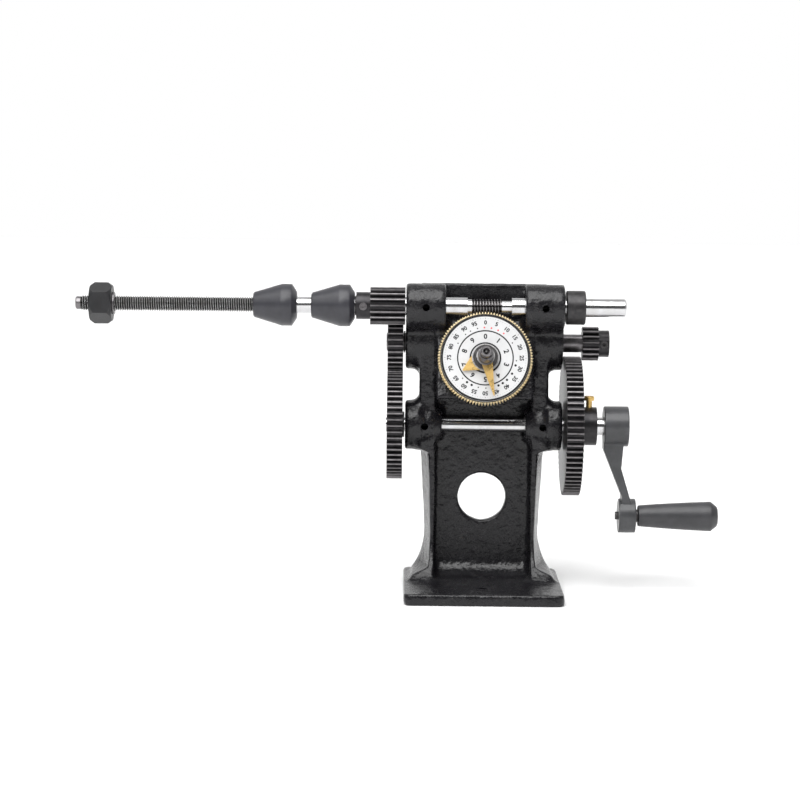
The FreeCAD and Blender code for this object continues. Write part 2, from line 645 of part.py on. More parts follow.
def casting():
    parts = [base_plate()]
    parts += cheek(-1, "left")
    parts += cheek(1, "right")

    web = box("web", "cheek_gap", "web_thickness", "web_height")
    parts.append(put(web, f"-{CHEEK_INNER}", f"{CHEEK_BACK} - web_thickness", "0", UPRIGHT))
    rail = box("top_rail", "cheek_gap", "web_thickness", "top_rail_height + top_rail_drop")
    rail_foot = "spindle_height - top_rail_drop"
    parts.append(put(rail, f"-{CHEEK_INNER}", f"{CHEEK_BACK} - web_thickness", rail_foot, UPRIGHT))

    # fillet between the web and the base, as a block less a round
    web_front = f"({CHEEK_BACK} - web_thickness)"
    block = box("foot_block", "cheek_gap", "web_foot_radius", "web_foot_radius")
    put(block, f"-{CHEEK_INNER}", f"{web_front} - web_foot_radius", "base_thickness", UPRIGHT)
    hollow = cylinder("foot_hollow", "2 * web_foot_radius", "cheek_gap + 2")
    hollow_centre = (f"{web_front} - web_foot_radius", "base_thickness + web_foot_radius")
    put(hollow, f"-{CHEEK_INNER} - 1", *hollow_centre, ALONG_X)
    parts.append(cut("web_foot", block, hollow))

    bridge = box("bridge", "cheek_gap", "bridge_thickness", "bridge_bottom - bridge_top")
    lean(bridge, BRIDGE_FRONT, "bridge_bottom", "-dial_tilt")
    bind(bridge, "Placement.Base.x", f"-{CHEEK_INNER}")
    parts.append(bridge)

    solid = fused("casting_blank", parts)

    bores = []
    for name, diameter, axis, start, length in (
        ("spindle", "spindle_diameter", SPINDLE, "-base_width", "2 * base_width"),
        ("lay", "lay_diameter", LAYSHAFT, "-base_width", "2 * base_width"),
        ("crank_slim", "crank_slim_diameter", CRANKSHAFT, "-base_width", "base_width"),
        ("crank", "crank_diameter", CRANKSHAFT, "0", "base_width"),
    ):
        bore = cylinder(name + "_bearing", f"{diameter} + 2 * running_clearance", length)
        bores.append(put(bore, start, *axis, ALONG_X))

    window = cylinder("web_window", "web_hole_diameter", "3 * web_thickness")
    bores.append(put(window, "0", f"{CHEEK_BACK} + web_thickness", "web_hole_height", TO_FRONT))

    bolts = {"front": "-base_depth / 2 + front_bolt_inset", "rear": "base_depth / 2 - rear_bolt_inset"}
    for name, y in bolts.items():
        hole = cylinder(name + "_bolt_hole", "bolt_hole_diameter", "3 * base_thickness")
        bores.append(put(hole, "0", y, "-base_thickness", UPRIGHT))

    for name, x, axis in (
        ("left_top", "-" + OIL_HOLE, SPINDLE),
        ("right_top", OIL_HOLE, SPINDLE),
        ("left_low", "-" + OIL_HOLE, CRANKSHAFT),
        ("right_low", OIL_HOLE, CRANKSHAFT),
    ):
        hole = cylinder(name + "_oil_hole", "oil_hole_diameter", "top_boss_diameter")
        bores.append(put(hole, x, *axis, TO_FRONT))

    pad_hole = cylinder("pad_hole", "pad_diameter + 2 * fixed_clearance", "lay_boss_diameter")
    bores.append(put(pad_hole, PAD_PLACE, *LAYSHAFT, TO_BACK))

    post_hole = cylinder("post_hole", "post_thread_diameter + 2 * fixed_clearance", "3 * bridge_thickness")
    bores.append(lean(post_hole, f"{BRIDGE_BACK} - bridge_thickness", DIAL_DROP, "90 - dial_tilt"))

    return keep("frame_casting", cut_all("frame_casting", solid, bores))


casting()


# ---------------------------------------------------------------- spindle line

def worm_thread(body, label):
    """One-start worm thread, as a helical feature of the spindle's own body.

    It begins 4.5 pitches left of the middle, less the dial's tilt, so that a groove faces the wheels' middle
    tooth.
    """
    plane = [item for item in body.Origin.OriginFeatures if item.Role == "XZ_Plane"][0]
    sketch = body.newObject("Sketcher::SketchObject", label + "_profile")
    sketch.AttachmentSupport = [(plane, "")]
    sketch.MapMode = "FlatFace"
    core = "worm_root_diameter / 2 - 0.2"
    tip = "worm_tip_diameter / 2"
    pitch = "(counter_module * pi)"
    first = f"(mandrel_reach - {pitch} * (4.5 - dial_tilt / 360))"
    profile = [
        (core, f"{first} - worm_thread_root_width / 2"),
        (tip, f"{first} - worm_thread_tip_width / 2"),
        (tip, f"{first} + worm_thread_tip_width / 2"),
        (core, f"{first} + worm_thread_root_width / 2"),
    ]
    draw_outline(sketch, profile)
    thread = body.newObject("PartDesign::AdditiveHelix", label)
    thread.Profile = sketch
    thread.ReferenceAxis = (sketch, ["V_Axis"])
    thread.Mode = 0
    bind(thread, "Pitch", pitch)
    bind(thread, "Height", "worm_length - 1")
    body.Tip = thread
    return thread


SPINDLE_STEPS = [
    # (radius, station from the left end) at each change of diameter
    ("pilot_diameter / 2", "pilot_length"),
    ("mandrel_diameter / 2", "mandrel_thread_length"),
    ("mandrel_shank_diameter / 2", f"mandrel_reach + {SHOULDER}"),
    ("spindle_diameter / 2", "mandrel_reach - worm_start - worm_left_neck_length"),
    ("worm_left_neck_diameter / 2", "mandrel_reach - worm_start"),
    ("worm_root_diameter / 2", "mandrel_reach - worm_start + worm_length"),
    ("worm_right_neck_diameter / 2", "mandrel_reach - worm_start + worm_length + worm_right_neck_length"),
    ("spindle_diameter / 2", "mandrel_reach + stub_reach - end_chamfer"),
]


def stepped_profile(steps, last_radius, end):
    """Half section of a solid shaft that changes diameter at each step."""
    profile = [("0", "0"), (steps[0][0], "0")]
    for index, (radius, station) in enumerate(steps):
        profile.append((radius, station))
        if index + 1 < len(steps):
            profile.append((steps[index + 1][0], station))
    profile.append((last_radius, end))
    profile.append(("0", end))
    return profile


spindle = turned("spindle", stepped_profile(
    SPINDLE_STEPS, "spindle_diameter / 2 - end_chamfer", "mandrel_reach + stub_reach"))
worm_thread(spindle, "worm_thread")
put(spindle, "-mandrel_reach", *SPINDLE, ALONG_X)
keep("spindle", spindle)

toward_crank = direction(LAYSHAFT, CRANKSHAFT)
toward_lay = direction(CRANKSHAFT, LAYSHAFT)
toward_spindle = direction(LAYSHAFT, SPINDLE)


def spindle_pinion_phase():
    """Phase that puts a gap of the spindle pinion where the layshaft wheel has its nearest tooth."""
    wheel_teeth = round(value(LAY_GEAR_TEETH))
    teeth = round(value("spindle_pinion_teeth"))
    step = 2 * math.pi / wheel_teeth
    offset = (toward_crank - toward_spindle) % step
    gap = direction(SPINDLE, LAYSHAFT) - offset * wheel_teeth / teeth
    return gap + math.pi / teeth


pinion = steel_gear(
    "spindle_pinion_gear", "spindle_pinion_teeth", spindle_pinion_phase(), "spindle_pinion_face", SPINDLE,
    SPINDLE_PINION_START, "spindle_diameter + 2 * fixed_clearance",
    [
        ("spindle_pinion_hub_diameter", "spindle_pinion_hub_length", SPINDLE_HUB_START),
        ("pinion_neck_diameter", "pinion_neck_length", SHOULDER),
    ])
pinion_screw_hole = set_screw(
    "spindle_pinion_screw", SPINDLE, f"{SPINDLE_HUB_START} + spindle_pinion_hub_length / 2",
    "spindle_diameter / 2 + fixed_clearance", "spindle_pinion_hub_diameter / 2 - 0.3", *FRONT)
keep("spindle_pinion", cut("spindle_pinion", pinion, pinion_screw_hole))

collar = turned("stop_collar_blank", [
    ("spindle_diameter / 2 + fixed_clearance", "0"),
    ("collar_diameter / 2 - 0.6", "0"),
    ("collar_diameter / 2", "0.6"),
    ("collar_diameter / 2", "collar_length - 0.6"),
    ("collar_diameter / 2 - 0.6", "collar_length"),
    ("spindle_diameter / 2 + fixed_clearance", "collar_length"),
])
put(collar, COLLAR_START, *SPINDLE, ALONG_X)
collar_hole = set_screw(
    "stop_collar_screw", SPINDLE, f"{COLLAR_START} + collar_length / 2",
    "spindle_diameter / 2 + fixed_clearance", "collar_diameter / 2 - 0.5", *BACK)
keep("stop_collar", cut("stop_collar", collar, collar_hole))


def cone(side, start):
    """Clamping cone: narrow end to the left, with a bevelled wide end and a set screw on top."""
    bore = "mandrel_shank_diameter / 2 + running_clearance"
    wide = "cone_large_diameter / 2"
    blank = turned(f"{side}_cone_blank", [
        (bore, "0"),
        ("cone_small_diameter / 2 - 0.8", "0"),
        ("cone_small_diameter / 2", "0.8"),
        (wide, "cone_taper_length"),
        (wide, "cone_length - cone_chamfer_length"),
        (f"{wide} - cone_chamfer_depth", "cone_length"),
        (bore, "cone_length"),
    ])
    put(blank, start, *SPINDLE, ALONG_X)
    middle = f"{start} + (cone_taper_length + cone_length - cone_chamfer_length) / 2"
    hole = set_screw(f"{side}_cone_screw", SPINDLE, middle, bore, f"{wide} - 0.5", *TOP)
    keep(f"{side}_cone", cut(f"{side}_cone", blank, hole))


cone("left", LEFT_CONE_START)
cone("right", RIGHT_CONE_START)


def hexagon(label, width, length, chamfer, bore):
    """Hexagonal nut about its own Z axis: a prism, bevelled by a turned envelope and bored."""
    prism = doc.addObject("Part::Prism", label + "_prism")
    prism.Polygon = 6
    bind(prism, "Circumradius", f"({width}) / sqrt(3)")
    bind(prism, "Height", length)
    corner = f"(({width}) / sqrt(3) + 0.01)"
    flat = f"(({width}) / 2 - 0.2)"
    envelope = turned(label + "_envelope", [
        (f"({bore}) / 2", "0"),
        (flat, "0"),
        (corner, chamfer),
        (corner, f"{length} - {chamfer}"),
        (flat, length),
        (f"({bore}) / 2", length),
    ])
    nut = doc.addObject("Part::Common", label + "_shape")
    nut.Base = prism
    nut.Tool = envelope
    return nut


nut = hexagon("clamp_nut", "nut_width", "nut_length", "nut_chamfer", "mandrel_diameter + 2 * running_clearance")
put(nut, NUT_START, *SPINDLE, FreeCAD.Rotation(FreeCAD.Vector(1, 0, 0), value("nut_turn")) * ALONG_X)
keep("clamp_nut", nut)
washer = turned("clamp_washer", tube_profile("mandrel_diameter + 0.6", "washer_diameter", "washer_thickness"))
put(washer, f"{NUT_START} + nut_length + loose_gap", *SPINDLE, ALONG_X)
keep("clamp_washer", washer)


# ---------------------------------------------------------------- layshaft

lay_left = f"({LEFT_WHEEL_START} - 0.8)"
layshaft = turned("layshaft_blank", [
    ("0", "0"),
    ("lay_diameter / 2 - end_chamfer / 2", "0"),
    ("lay_diameter / 2", "end_chamfer / 2"),
    ("lay_diameter / 2", f"{LAY_END} - {lay_left} - end_chamfer / 2"),
    ("lay_diameter / 2 - end_chamfer / 2", f"{LAY_END} - {lay_left}"),
    ("0", f"{LAY_END} - {lay_left}"),
])
put(layshaft, lay_left, *LAYSHAFT, ALONG_X)


def key_pin(label, axis, shaft_diameter, start, length):
    """Round key half in the shaft and half in the wheel, on top of the shaft, and the hole for it."""
    y, z = axis
    place = (start, y, f"{z} + ({shaft_diameter}) / 2")
    pin = put(cylinder(label, "key_pin_diameter", length), *place, ALONG_X)
    keep(label, pin)
    hole = cylinder(label + "_hole", "key_pin_diameter + 2 * fixed_clearance", f"{length} + 10")
    return put(hole, f"{start} - 10", y, f"{z} + ({shaft_diameter}) / 2", ALONG_X)


lay_key_hole = key_pin("lay_gear_key", LAYSHAFT, "lay_diameter", LEFT_WHEEL_START, "gear_face - 1")
keep("layshaft", cut("layshaft", layshaft, lay_key_hole))

lay_gear = steel_gear(
    "lay_gear_wheel", LAY_GEAR_TEETH, toward_crank, "gear_face", LAYSHAFT, LEFT_WHEEL_START,
    "lay_diameter + 2 * fixed_clearance")
keep("lay_gear", cut("lay_gear", lay_gear, lay_key_hole))

lay_pinion = steel_gear(
    "lay_pinion_gear", "lay_pinion_teeth", toward_crank, "lay_pinion_face", LAYSHAFT, LAY_PINION_START,
    "lay_diameter + 2 * fixed_clearance",
    [("lay_pinion_hub_diameter", "lay_pinion_hub_length", LAY_PINION_TEETH_END)])
lay_screw_hole = set_screw(
    "lay_pinion_screw", LAYSHAFT, f"{LAY_PINION_TEETH_END} + lay_pinion_hub_length / 2",
    "lay_diameter / 2 + fixed_clearance", "lay_pinion_hub_diameter / 2 - 0.3", *FRONT)
keep("lay_pinion", cut("lay_pinion", lay_pinion, lay_screw_hole))

shift_washer = turned("shift_washer", tube_profile(
    "lay_diameter + 2 * running_clearance", "shift_washer_diameter", "shift_washer_thickness"))
washer_start = f"{LEFT_WHEEL_START} + gear_face + (wheel_gap - shift_washer_thickness) / 2"
put(shift_washer, washer_start, *LAYSHAFT, ALONG_X)
keep("shift_washer", shift_washer)

# friction pad and its screw, in the back of the right layshaft boss
pad_inner = "(lay_diameter / 2 + running_clearance)"
pad = cylinder("friction_pad", "pad_diameter", "pad_length")
keep("friction_pad", put(pad, PAD_PLACE, f"{LAY_Y} + {pad_inner}", LAY_Z, TO_BACK))
pad_screw_start = f"({pad_inner} + pad_length)"
pad_screw_length = f"(lay_boss_diameter / 2 - {pad_screw_start})"
pad_screw = turned("friction_screw", [
    ("0", "0"),
    ("pad_diameter / 2", "0"),
    ("pad_diameter / 2", pad_screw_length),
    ("set_screw_socket / 2", pad_screw_length),
    ("set_screw_socket / 2", f"{pad_screw_length} - set_screw_socket_depth"),
    ("0", f"{pad_screw_length} - set_screw_socket_depth"),
])
put(pad_screw, PAD_PLACE, f"{LAY_Y} + {pad_screw_start}", LAY_Z, TO_BACK)
keep("friction_screw", pad_screw)


# ---------------------------------------------------------------- crankshaft and crank

crank_left = f"({LEFT_WHEEL_START} - 0.8)"
crankshaft = turned("crankshaft_blank", [
    ("0", "0"),
    ("crank_slim_diameter / 2", "0"),
    ("crank_slim_diameter / 2", f"crank_boss_inner_gap / 2 - {crank_left}"),
    ("crank_diameter / 2", f"crank_boss_inner_gap / 2 - {crank_left}"),
    ("crank_diameter / 2", f"{CRANK_END} - {crank_left} - end_chamfer / 2"),
    ("crank_diameter / 2 - end_chamfer / 2", f"{CRANK_END} - {crank_left}"),
    ("0", f"{CRANK_END} - {crank_left}"),
])
put(crankshaft, crank_left, *CRANKSHAFT, ALONG_X)
slow_key_hole = key_pin("slow_gear_key", CRANKSHAFT, "crank_slim_diameter", LEFT_WHEEL_START, "gear_face - 1")
keep("crankshaft", cut("crankshaft", crankshaft, slow_key_hole))

slow_gear_phase = toward_lay + math.pi / value("slow_gear_teeth")
slow_gear = steel_gear(
    "slow_gear_wheel", "slow_gear_teeth", slow_gear_phase, "gear_face", CRANKSHAFT, LEFT_WHEEL_START,
    "crank_slim_diameter + 2 * fixed_clearance",
    [("slow_hub_diameter", "slow_hub_length", f"{LEFT_WHEEL_START} + gear_face")])
keep("slow_gear", cut("slow_gear", slow_gear, slow_key_hole))

large_gear_phase = toward_lay + math.pi / value("large_gear_teeth")
large_gear = steel_gear(
    "large_gear_wheel", "large_gear_teeth", large_gear_phase, "large_gear_face", CRANKSHAFT, LARGE_GEAR_START,
    "crank_diameter + 2 * fixed_clearance",
    [("large_hub_diameter", "large_hub_length", LARGE_GEAR_END)])
large_screw_x = f"({LARGE_GEAR_END} + large_hub_length * 0.56)"
large_screw_bore = "head_screw_diameter + 2 * fixed_clearance"
large_screw_hole = cylinder("large_gear_screw_hole", large_screw_bore, "large_hub_diameter")
put(large_screw_hole, large_screw_x, *CRANKSHAFT, UPRIGHT)
keep("large_gear", cut("large_gear", large_gear, large_screw_hole))

large_screw_neck = "(large_hub_diameter / 2 + head_screw_exposed - crank_diameter / 2 - fixed_clearance)"
large_screw_top = f"({large_screw_neck} + head_screw_head_height)"
head_screw = turned("large_gear_screw_blank", [
    ("0", "0"),
    ("head_screw_diameter / 2", "0"),
    ("head_screw_diameter / 2", large_screw_neck),
    ("head_screw_head_diameter / 2", large_screw_neck),
    ("head_screw_head_diameter / 2", f"{large_screw_top} - 0.6"),
    ("head_screw_head_diameter / 2 - 0.6", large_screw_top),
    ("0", large_screw_top),
])
put(head_screw, large_screw_x, CRANK_Y, f"{CRANK_Z} + crank_diameter / 2 + fixed_clearance", UPRIGHT)
slot = box("large_gear_screw_slot", "head_screw_head_diameter * 2", "head_screw_slot", "head_screw_head_height")
put(slot, f"{large_screw_x} - head_screw_head_diameter", f"{CRANK_Y} - head_screw_slot / 2",
    f"{CRANK_Z} + crank_diameter / 2 + {large_screw_top} - head_screw_slot", UPRIGHT)
keep("large_gear_screw", cut("large_gear_screw", head_screw, slot))


def crank_bar():
    """Cranked bar between the two bosses, as a padded outline in the XZ plane, about the crankshaft axis."""
    body = doc.addObject("PartDesign::Body", "crank_bar")
    plane = [item for item in body.Origin.OriginFeatures if item.Role == "XZ_Plane"][0]
    sketch = body.newObject("Sketcher::SketchObject", "crank_bar_outline")
    sketch.AttachmentSupport = [(plane, "")]
    sketch.MapMode = "FlatFace"
    knee = "(crank_hub_diameter / 2 + 2)"
    elbow = "(crank_throw * 0.46)"
    ankle = "(crank_throw - crank_boss_end_diameter / 2)"
    lower_out = "(crank_offset + 1.8 + crank_arm_lower_thickness)"
    outline = [
        ("0.01", "-0.01"),
        ("0.01", f"-{knee}"),
        ("crank_offset + 1.8", f"-{ankle} + 2"),
        ("crank_offset + 1.8", "-crank_throw"),
        (f"{lower_out} + 1", "-crank_throw"),
        (f"{lower_out} + 1", f"-{ankle} - 1"),
        ("crank_arm_upper_thickness - 1.2", f"-{elbow}"),
        ("crank_arm_upper_thickness", "-crank_hub_diameter / 2 + 2"),
        ("crank_arm_upper_thickness", "-0.01"),
    ]
    draw_outline(sketch, outline)
    pad = body.newObject("PartDesign::Pad", "crank_bar_pad")
    pad.Profile = sketch
    pad.Midplane = True
    bind(pad, "Length", "crank_arm_width")
    return put(body, CRANK_START, *CRANKSHAFT, UPRIGHT)


crank_hub = put(cylinder("crank_hub", "crank_hub_diameter", "crank_hub_length"),
                CRANK_START, *CRANKSHAFT, ALONG_X)
crank_end = put(cylinder("crank_end", "crank_boss_end_diameter", "crank_boss_end_length"),
                CRANK_BOSS_START, *GRIP, ALONG_X)
crank_blank = fused("crank_blank", [crank_hub, crank_end, crank_bar()])
crank_bore = put(cylinder("crank_bore", "crank_diameter + 2 * fixed_clearance", "2 * base_width"),
                 "0", *CRANKSHAFT, ALONG_X)
grip_pin_hole = put(cylinder("grip_pin_hole", "grip_pin_diameter + 2 * fixed_clearance", "2 * base_width"),
                    "0", *GRIP, ALONG_X)
crank_screw_hole = set_screw(
    "crank_screw", CRANKSHAFT, f"{CRANK_START} + crank_hub_length / 2",
    "crank_diameter / 2 + fixed_clearance", "crank_hub_diameter / 2 - 0.5", *BACK)
keep("crank_arm", cut_all("crank_arm", crank_blank, [crank_bore, grip_pin_hole, crank_screw_hole]))

grip_pin_reach = f"({GRIP_START} - {CRANK_BOSS_START} + grip_pin_head + grip_pin_length)"
grip_pin = cylinder("grip_pin", "grip_pin_diameter", grip_pin_reach)
keep("grip_pin", put(grip_pin, f"{CRANK_BOSS_START} - grip_pin_head", *GRIP, ALONG_X))
grip_washer = turned("grip_washer", tube_profile(
    "grip_pin_diameter + 2 * fixed_clearance", "grip_washer_diameter", "grip_washer_thickness"))
keep("grip_washer", put(grip_washer, GRIP_WASHER_START, *GRIP, ALONG_X))

grip_bore = "grip_pin_diameter / 2 + running_clearance"
grip_shoulder = "(grip_length - grip_nose_length)"
grip = turned("grip", [
    (grip_bore, "0"),
    ("grip_inner_diameter / 2 - 0.8", "0"),
    ("grip_inner_diameter / 2", "0.8"),
    ("grip_outer_diameter / 2", grip_shoulder),
    ("grip_outer_diameter / 2 - 0.4", f"{grip_shoulder} + grip_nose_length * 0.45"),
    ("(grip_outer_diameter + grip_nose_diameter) / 4", f"{grip_shoulder} + grip_nose_length * 0.85"),
    ("grip_nose_diameter / 2", "grip_length"),
    ("0", "grip_length"),
    ("0", "grip_pin_length + 1"),
    (grip_bore, "grip_pin_length + 1"),
])
keep("grip", put(grip, GRIP_START, *GRIP, ALONG_X))


# ---------------------------------------------------------------- counter

def on_post(label, item, out):
    """Stands a turned part on the post's axis."""
    return keep(label, lean(item, out, DIAL_DROP, "90 - dial_tilt"))


post_thread_length = f"(bridge_thickness + post_nut_thickness + 1.5)"
post_back = f"({BRIDGE_FRONT} - {post_thread_length})"
post = turned("counter_post", [
    ("0", "0"),
    ("post_thread_diameter / 2", "0"),
    ("post_thread_diameter / 2", post_thread_length),
    ("post_diameter / 2", post_thread_length),
    ("post_diameter / 2", f"{SLEEVE_FRONT} - {post_back}"),
    ("post_tip_diameter / 2", f"{SLEEVE_FRONT} - {post_back}"),
    ("post_tip_diameter / 2", f"post_reach - {post_back} - 0.6"),
    ("post_tip_diameter / 2 - 0.6", f"post_reach - {post_back}"),
    ("post_hole_diameter / 2", f"post_reach - {post_back}"),
    ("post_hole_diameter / 2", f"post_reach - {post_back} - post_hole_depth"),
    ("0", f"post_reach - {post_back} - post_hole_depth"),
])
on_post("counter_post", post, post_back)
post_nut = hexagon("post_nut", "post_nut_width", "post_nut_thickness", "0.6",
                   "post_thread_diameter + 2 * fixed_clearance")
on_post("post_nut", post_nut, f"{BRIDGE_BACK} - post_nut_thickness")
pad_washer = turned("spring_washer", tube_profile(
    "post_diameter + 2 * running_clearance", "pad_washer_diameter", "pad_washer_thickness"))
on_post("spring_washer", pad_washer, PAD_WASHER_BACK)


def counter_ring(label, teeth):
    """Brass toothed ring about its own Z axis, with a tooth up to the worm. Both have the same diameter."""
    module = f"(counter_module * counter_teeth / {teeth})"
    ring = toothed_ring(label, teeth, module, "counter_thinning", math.pi / 2, "wheel_thickness")
    ring.Placement = FreeCAD.Placement(
        FreeCAD.Vector(0, 0, 0), FreeCAD.Rotation(FreeCAD.Vector(0, 1, 0), -90))
    return ring


dial_ring = counter_ring("dial_ring", "counter_teeth")
dial_hub = cylinder("dial_hub", "dial_hub_diameter", "wheel_thickness + dial_plate_thickness + dial_hub_rise")
dial_blank = fused("dial_wheel_blank", [dial_ring, dial_hub])
dial_bore = cylinder("dial_bore", "sleeve_diameter + 2 * running_clearance", "post_reach")
on_post("dial_wheel", cut("dial_wheel", dial_blank, dial_bore), DIAL_BACK)

dial_plate = turned("dial_plate", tube_profile(
    "dial_hub_diameter + 4 * fixed_clearance", "dial_plate_diameter", "dial_plate_thickness"))
on_post("dial_plate", dial_plate, PLATE_BACK)

hundreds_ring = counter_ring("hundreds_ring", "hundreds_teeth")
sleeve = cylinder("sleeve", "sleeve_diameter", "wheel_thickness + sleeve_length")
hundreds_blank = fused("hundreds_blank", [hundreds_ring, sleeve])
sleeve_bore = cylinder("sleeve_bore", "post_diameter + 2 * running_clearance", "2 * post_reach")
on_post("hundreds_wheel", cut("hundreds_wheel", hundreds_blank, sleeve_bore), HUNDREDS_BACK)


def pointer(label, carrier_diameter, width, reach, turn, out):
    """Flat pointer on a ring around its carrier. It tapers to its tip and is turned from straight down."""
    body = doc.addObject("PartDesign::Body", label + "_blade")
    plane = [item for item in body.Origin.OriginFeatures if item.Role == "XY_Plane"][0]
    sketch = body.newObject("Sketcher::SketchObject", label + "_outline")
    sketch.AttachmentSupport = [(plane, "")]
    sketch.MapMode = "FlatFace"

    def spot(along, aside):
        return (f"({along}) * sin({turn}) + ({aside}) * cos({turn})",
                f"-({along}) * cos({turn}) + ({aside}) * sin({turn})")

    outline = [
        spot(f"{carrier_diameter} / 2 - pointer_ring_width", f"-({width}) / 2"),
        spot(f"{carrier_diameter} / 2 - pointer_ring_width", f"({width}) / 2"),
        spot(reach, "pointer_tip_width / 2"),
        spot(reach, "-pointer_tip_width / 2"),
    ]
    draw_outline(sketch, outline)
    pad = body.newObject("PartDesign::Pad", label + "_pad")
    pad.Profile = sketch
    bind(pad, "Length", "pointer_thickness")
    ring = cylinder(label + "_ring", f"{carrier_diameter} + 2 * pointer_ring_width", "pointer_thickness")
    blank = fused(label + "_blank", [body, ring])
    hole = cylinder(label + "_hole", f"{carrier_diameter} + 2 * fixed_clearance", "pointer_thickness")
    on_post(label, cut(label, blank, hole), out)


pointer("short_pointer", "sleeve_diameter", "short_pointer_width", "short_pointer_reach",
        "short_pointer_turn", f"{PLATE_FRONT} + short_pointer_height")
pointer("long_pointer", "pointer_hub_diameter", "long_pointer_width", "long_pointer_reach",
        "long_pointer_turn", f"{POINTER_HUB_BACK} + long_pointer_height")

hub_end = "(pointer_hub_length + pointer_hub_nose_length)"
hub_bore = "post_tip_diameter / 2 + running_clearance"
pointer_hub = turned("pointer_hub", [
    (hub_bore, "0"),
    ("pointer_hub_diameter / 2", "0"),
    ("pointer_hub_diameter / 2", "pointer_hub_length"),
    ("pointer_hub_diameter / 2 - 1", hub_end),
    (hub_bore, hub_end),
])
on_post("pointer_hub", pointer_hub, POINTER_HUB_BACK)


# ---------------------------------------------------------------- build, check and write

doc.recompute()
faults = [item.Name for item in doc.Objects if {"Invalid", "Error"} & set(item.State)]
for label, item in nodes.items():
    if item.Shape.isNull() or not item.Shape.isValid() or not item.Shape.Solids:
        faults.append(label)
if faults:
    raise RuntimeError("failed objects: " + ", ".join(faults))

os.makedirs("parts", exist_ok=True)
for label, item in nodes.items():
    item.Shape.exportStep(f"parts/{label}.step")

for name, axis in (("spindle", SPINDLE), ("layshaft", LAYSHAFT), ("crankshaft", CRANKSHAFT), ("grip", GRIP)):
    print(name, "axis y, z:", round(value(axis[0]), 4), round(value(axis[1]), 4))
print("dial axis y, z:", round(value(slope_y("0", DIAL_DROP)), 4), round(value(slope_z("0", DIAL_DROP)), 4))
print("shift:", value(SHIFT), "nodes:", len(nodes))
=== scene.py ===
import json
import math

import bmesh
import bpy
from mathutils import Matrix, Vector


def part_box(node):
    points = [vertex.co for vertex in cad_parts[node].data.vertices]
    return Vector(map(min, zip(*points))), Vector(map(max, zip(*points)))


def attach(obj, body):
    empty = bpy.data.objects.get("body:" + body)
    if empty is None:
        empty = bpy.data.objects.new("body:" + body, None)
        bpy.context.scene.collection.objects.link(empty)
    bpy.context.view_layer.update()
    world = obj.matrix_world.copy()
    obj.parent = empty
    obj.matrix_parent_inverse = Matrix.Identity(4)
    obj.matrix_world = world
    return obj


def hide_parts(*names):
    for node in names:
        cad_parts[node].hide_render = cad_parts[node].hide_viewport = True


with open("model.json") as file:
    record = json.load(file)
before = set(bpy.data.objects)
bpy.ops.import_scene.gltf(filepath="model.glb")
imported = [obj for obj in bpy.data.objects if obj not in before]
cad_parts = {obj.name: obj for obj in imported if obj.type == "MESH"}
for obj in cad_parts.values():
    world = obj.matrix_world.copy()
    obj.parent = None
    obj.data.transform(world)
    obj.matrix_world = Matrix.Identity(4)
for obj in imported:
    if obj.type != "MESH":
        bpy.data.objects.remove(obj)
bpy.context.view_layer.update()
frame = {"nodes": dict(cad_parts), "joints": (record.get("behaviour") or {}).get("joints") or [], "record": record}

# The frame's units are metres. Sizes below are written in millimetres and multiplied by MM.
MM = 0.001
NODES = frame["nodes"]
BODY_OF = {node: body for body, names in frame["record"]["behaviour"]["bodies"].items() for node in names}
JOINTS = {joint["name"]: joint for joint in frame["joints"]}

SPINDLE = Vector(JOINTS["spindle_spin"]["pos_m"])
LAYSHAFT = Vector(JOINTS["layshaft_spin"]["pos_m"])
CRANKSHAFT = Vector(JOINTS["crank_spin"]["pos_m"])
GRIP_AXIS = Vector(JOINTS["grip_spin"]["pos_m"])
DIAL_CENTRE = Vector(JOINTS["dial_spin"]["pos_m"])
DIAL_NORMAL = Vector(JOINTS["dial_spin"]["axis"]).normalized()
DIAL_RIGHT = Vector((1, 0, 0))
DIAL_UP = DIAL_NORMAL.cross(DIAL_RIGHT)
ALONG_X = Vector((1, 0, 0))

# Measures that both a material and a shape use.
OIL_HOLE_X = 39.0
THREAD_RADIUS = 5.0

# Colours, as linear red, green and blue. The second of a pair is the cloud over the first.
ENAMEL = ((0.0055, 0.0052, 0.0065), (0.012, 0.0115, 0.0135))
ENAMEL_RUBBED = (0.024, 0.023, 0.024)
OXIDE_BLACK = ((0.020, 0.019, 0.021), (0.044, 0.042, 0.043))
OXIDE_WORN = (0.22, 0.21, 0.205)
GEAR_BLACK = ((0.018, 0.017, 0.019), (0.038, 0.036, 0.038))
# Painted highlight on the gears' tooth tips.
GEAR_TIP_HIGHLIGHT = (0.20, 0.19, 0.195)
CONE_GREY = ((0.026, 0.026, 0.032), (0.038, 0.038, 0.046))
NUT_BLACK = ((0.009, 0.009, 0.010), (0.018, 0.018, 0.020))
CRANK_GREY = ((0.042, 0.043, 0.046), (0.060, 0.061, 0.065))
PAINT_WORN = (0.17, 0.168, 0.165)
GRIP_BLACK = ((0.030, 0.030, 0.033), (0.044, 0.044, 0.048))
STEEL_BRIGHT = ((0.60, 0.60, 0.61), (0.50, 0.495, 0.49))
STEEL_DULL = ((0.23, 0.22, 0.225), (0.13, 0.123, 0.128))
# The first is painted shade at the roots of the worm's turns, the second the colour of its crests.
WORM_ROOT_SHADE, WORM_CREST = (0.030, 0.028, 0.028), (0.26, 0.25, 0.25)
# Painted shade at the roots of the mandrel's thread.
THREAD_ROOT_SHADE = (0.035, 0.034, 0.033)
THREAD_CREST = ((0.60, 0.60, 0.61), (0.36, 0.35, 0.34))
# Painted shade on the shafts under the bearings' oil holes.
HOLE_SHADE = (0.004, 0.004, 0.004)
BRASS_BODY = ((0.80, 0.55, 0.20), (0.62, 0.40, 0.14))
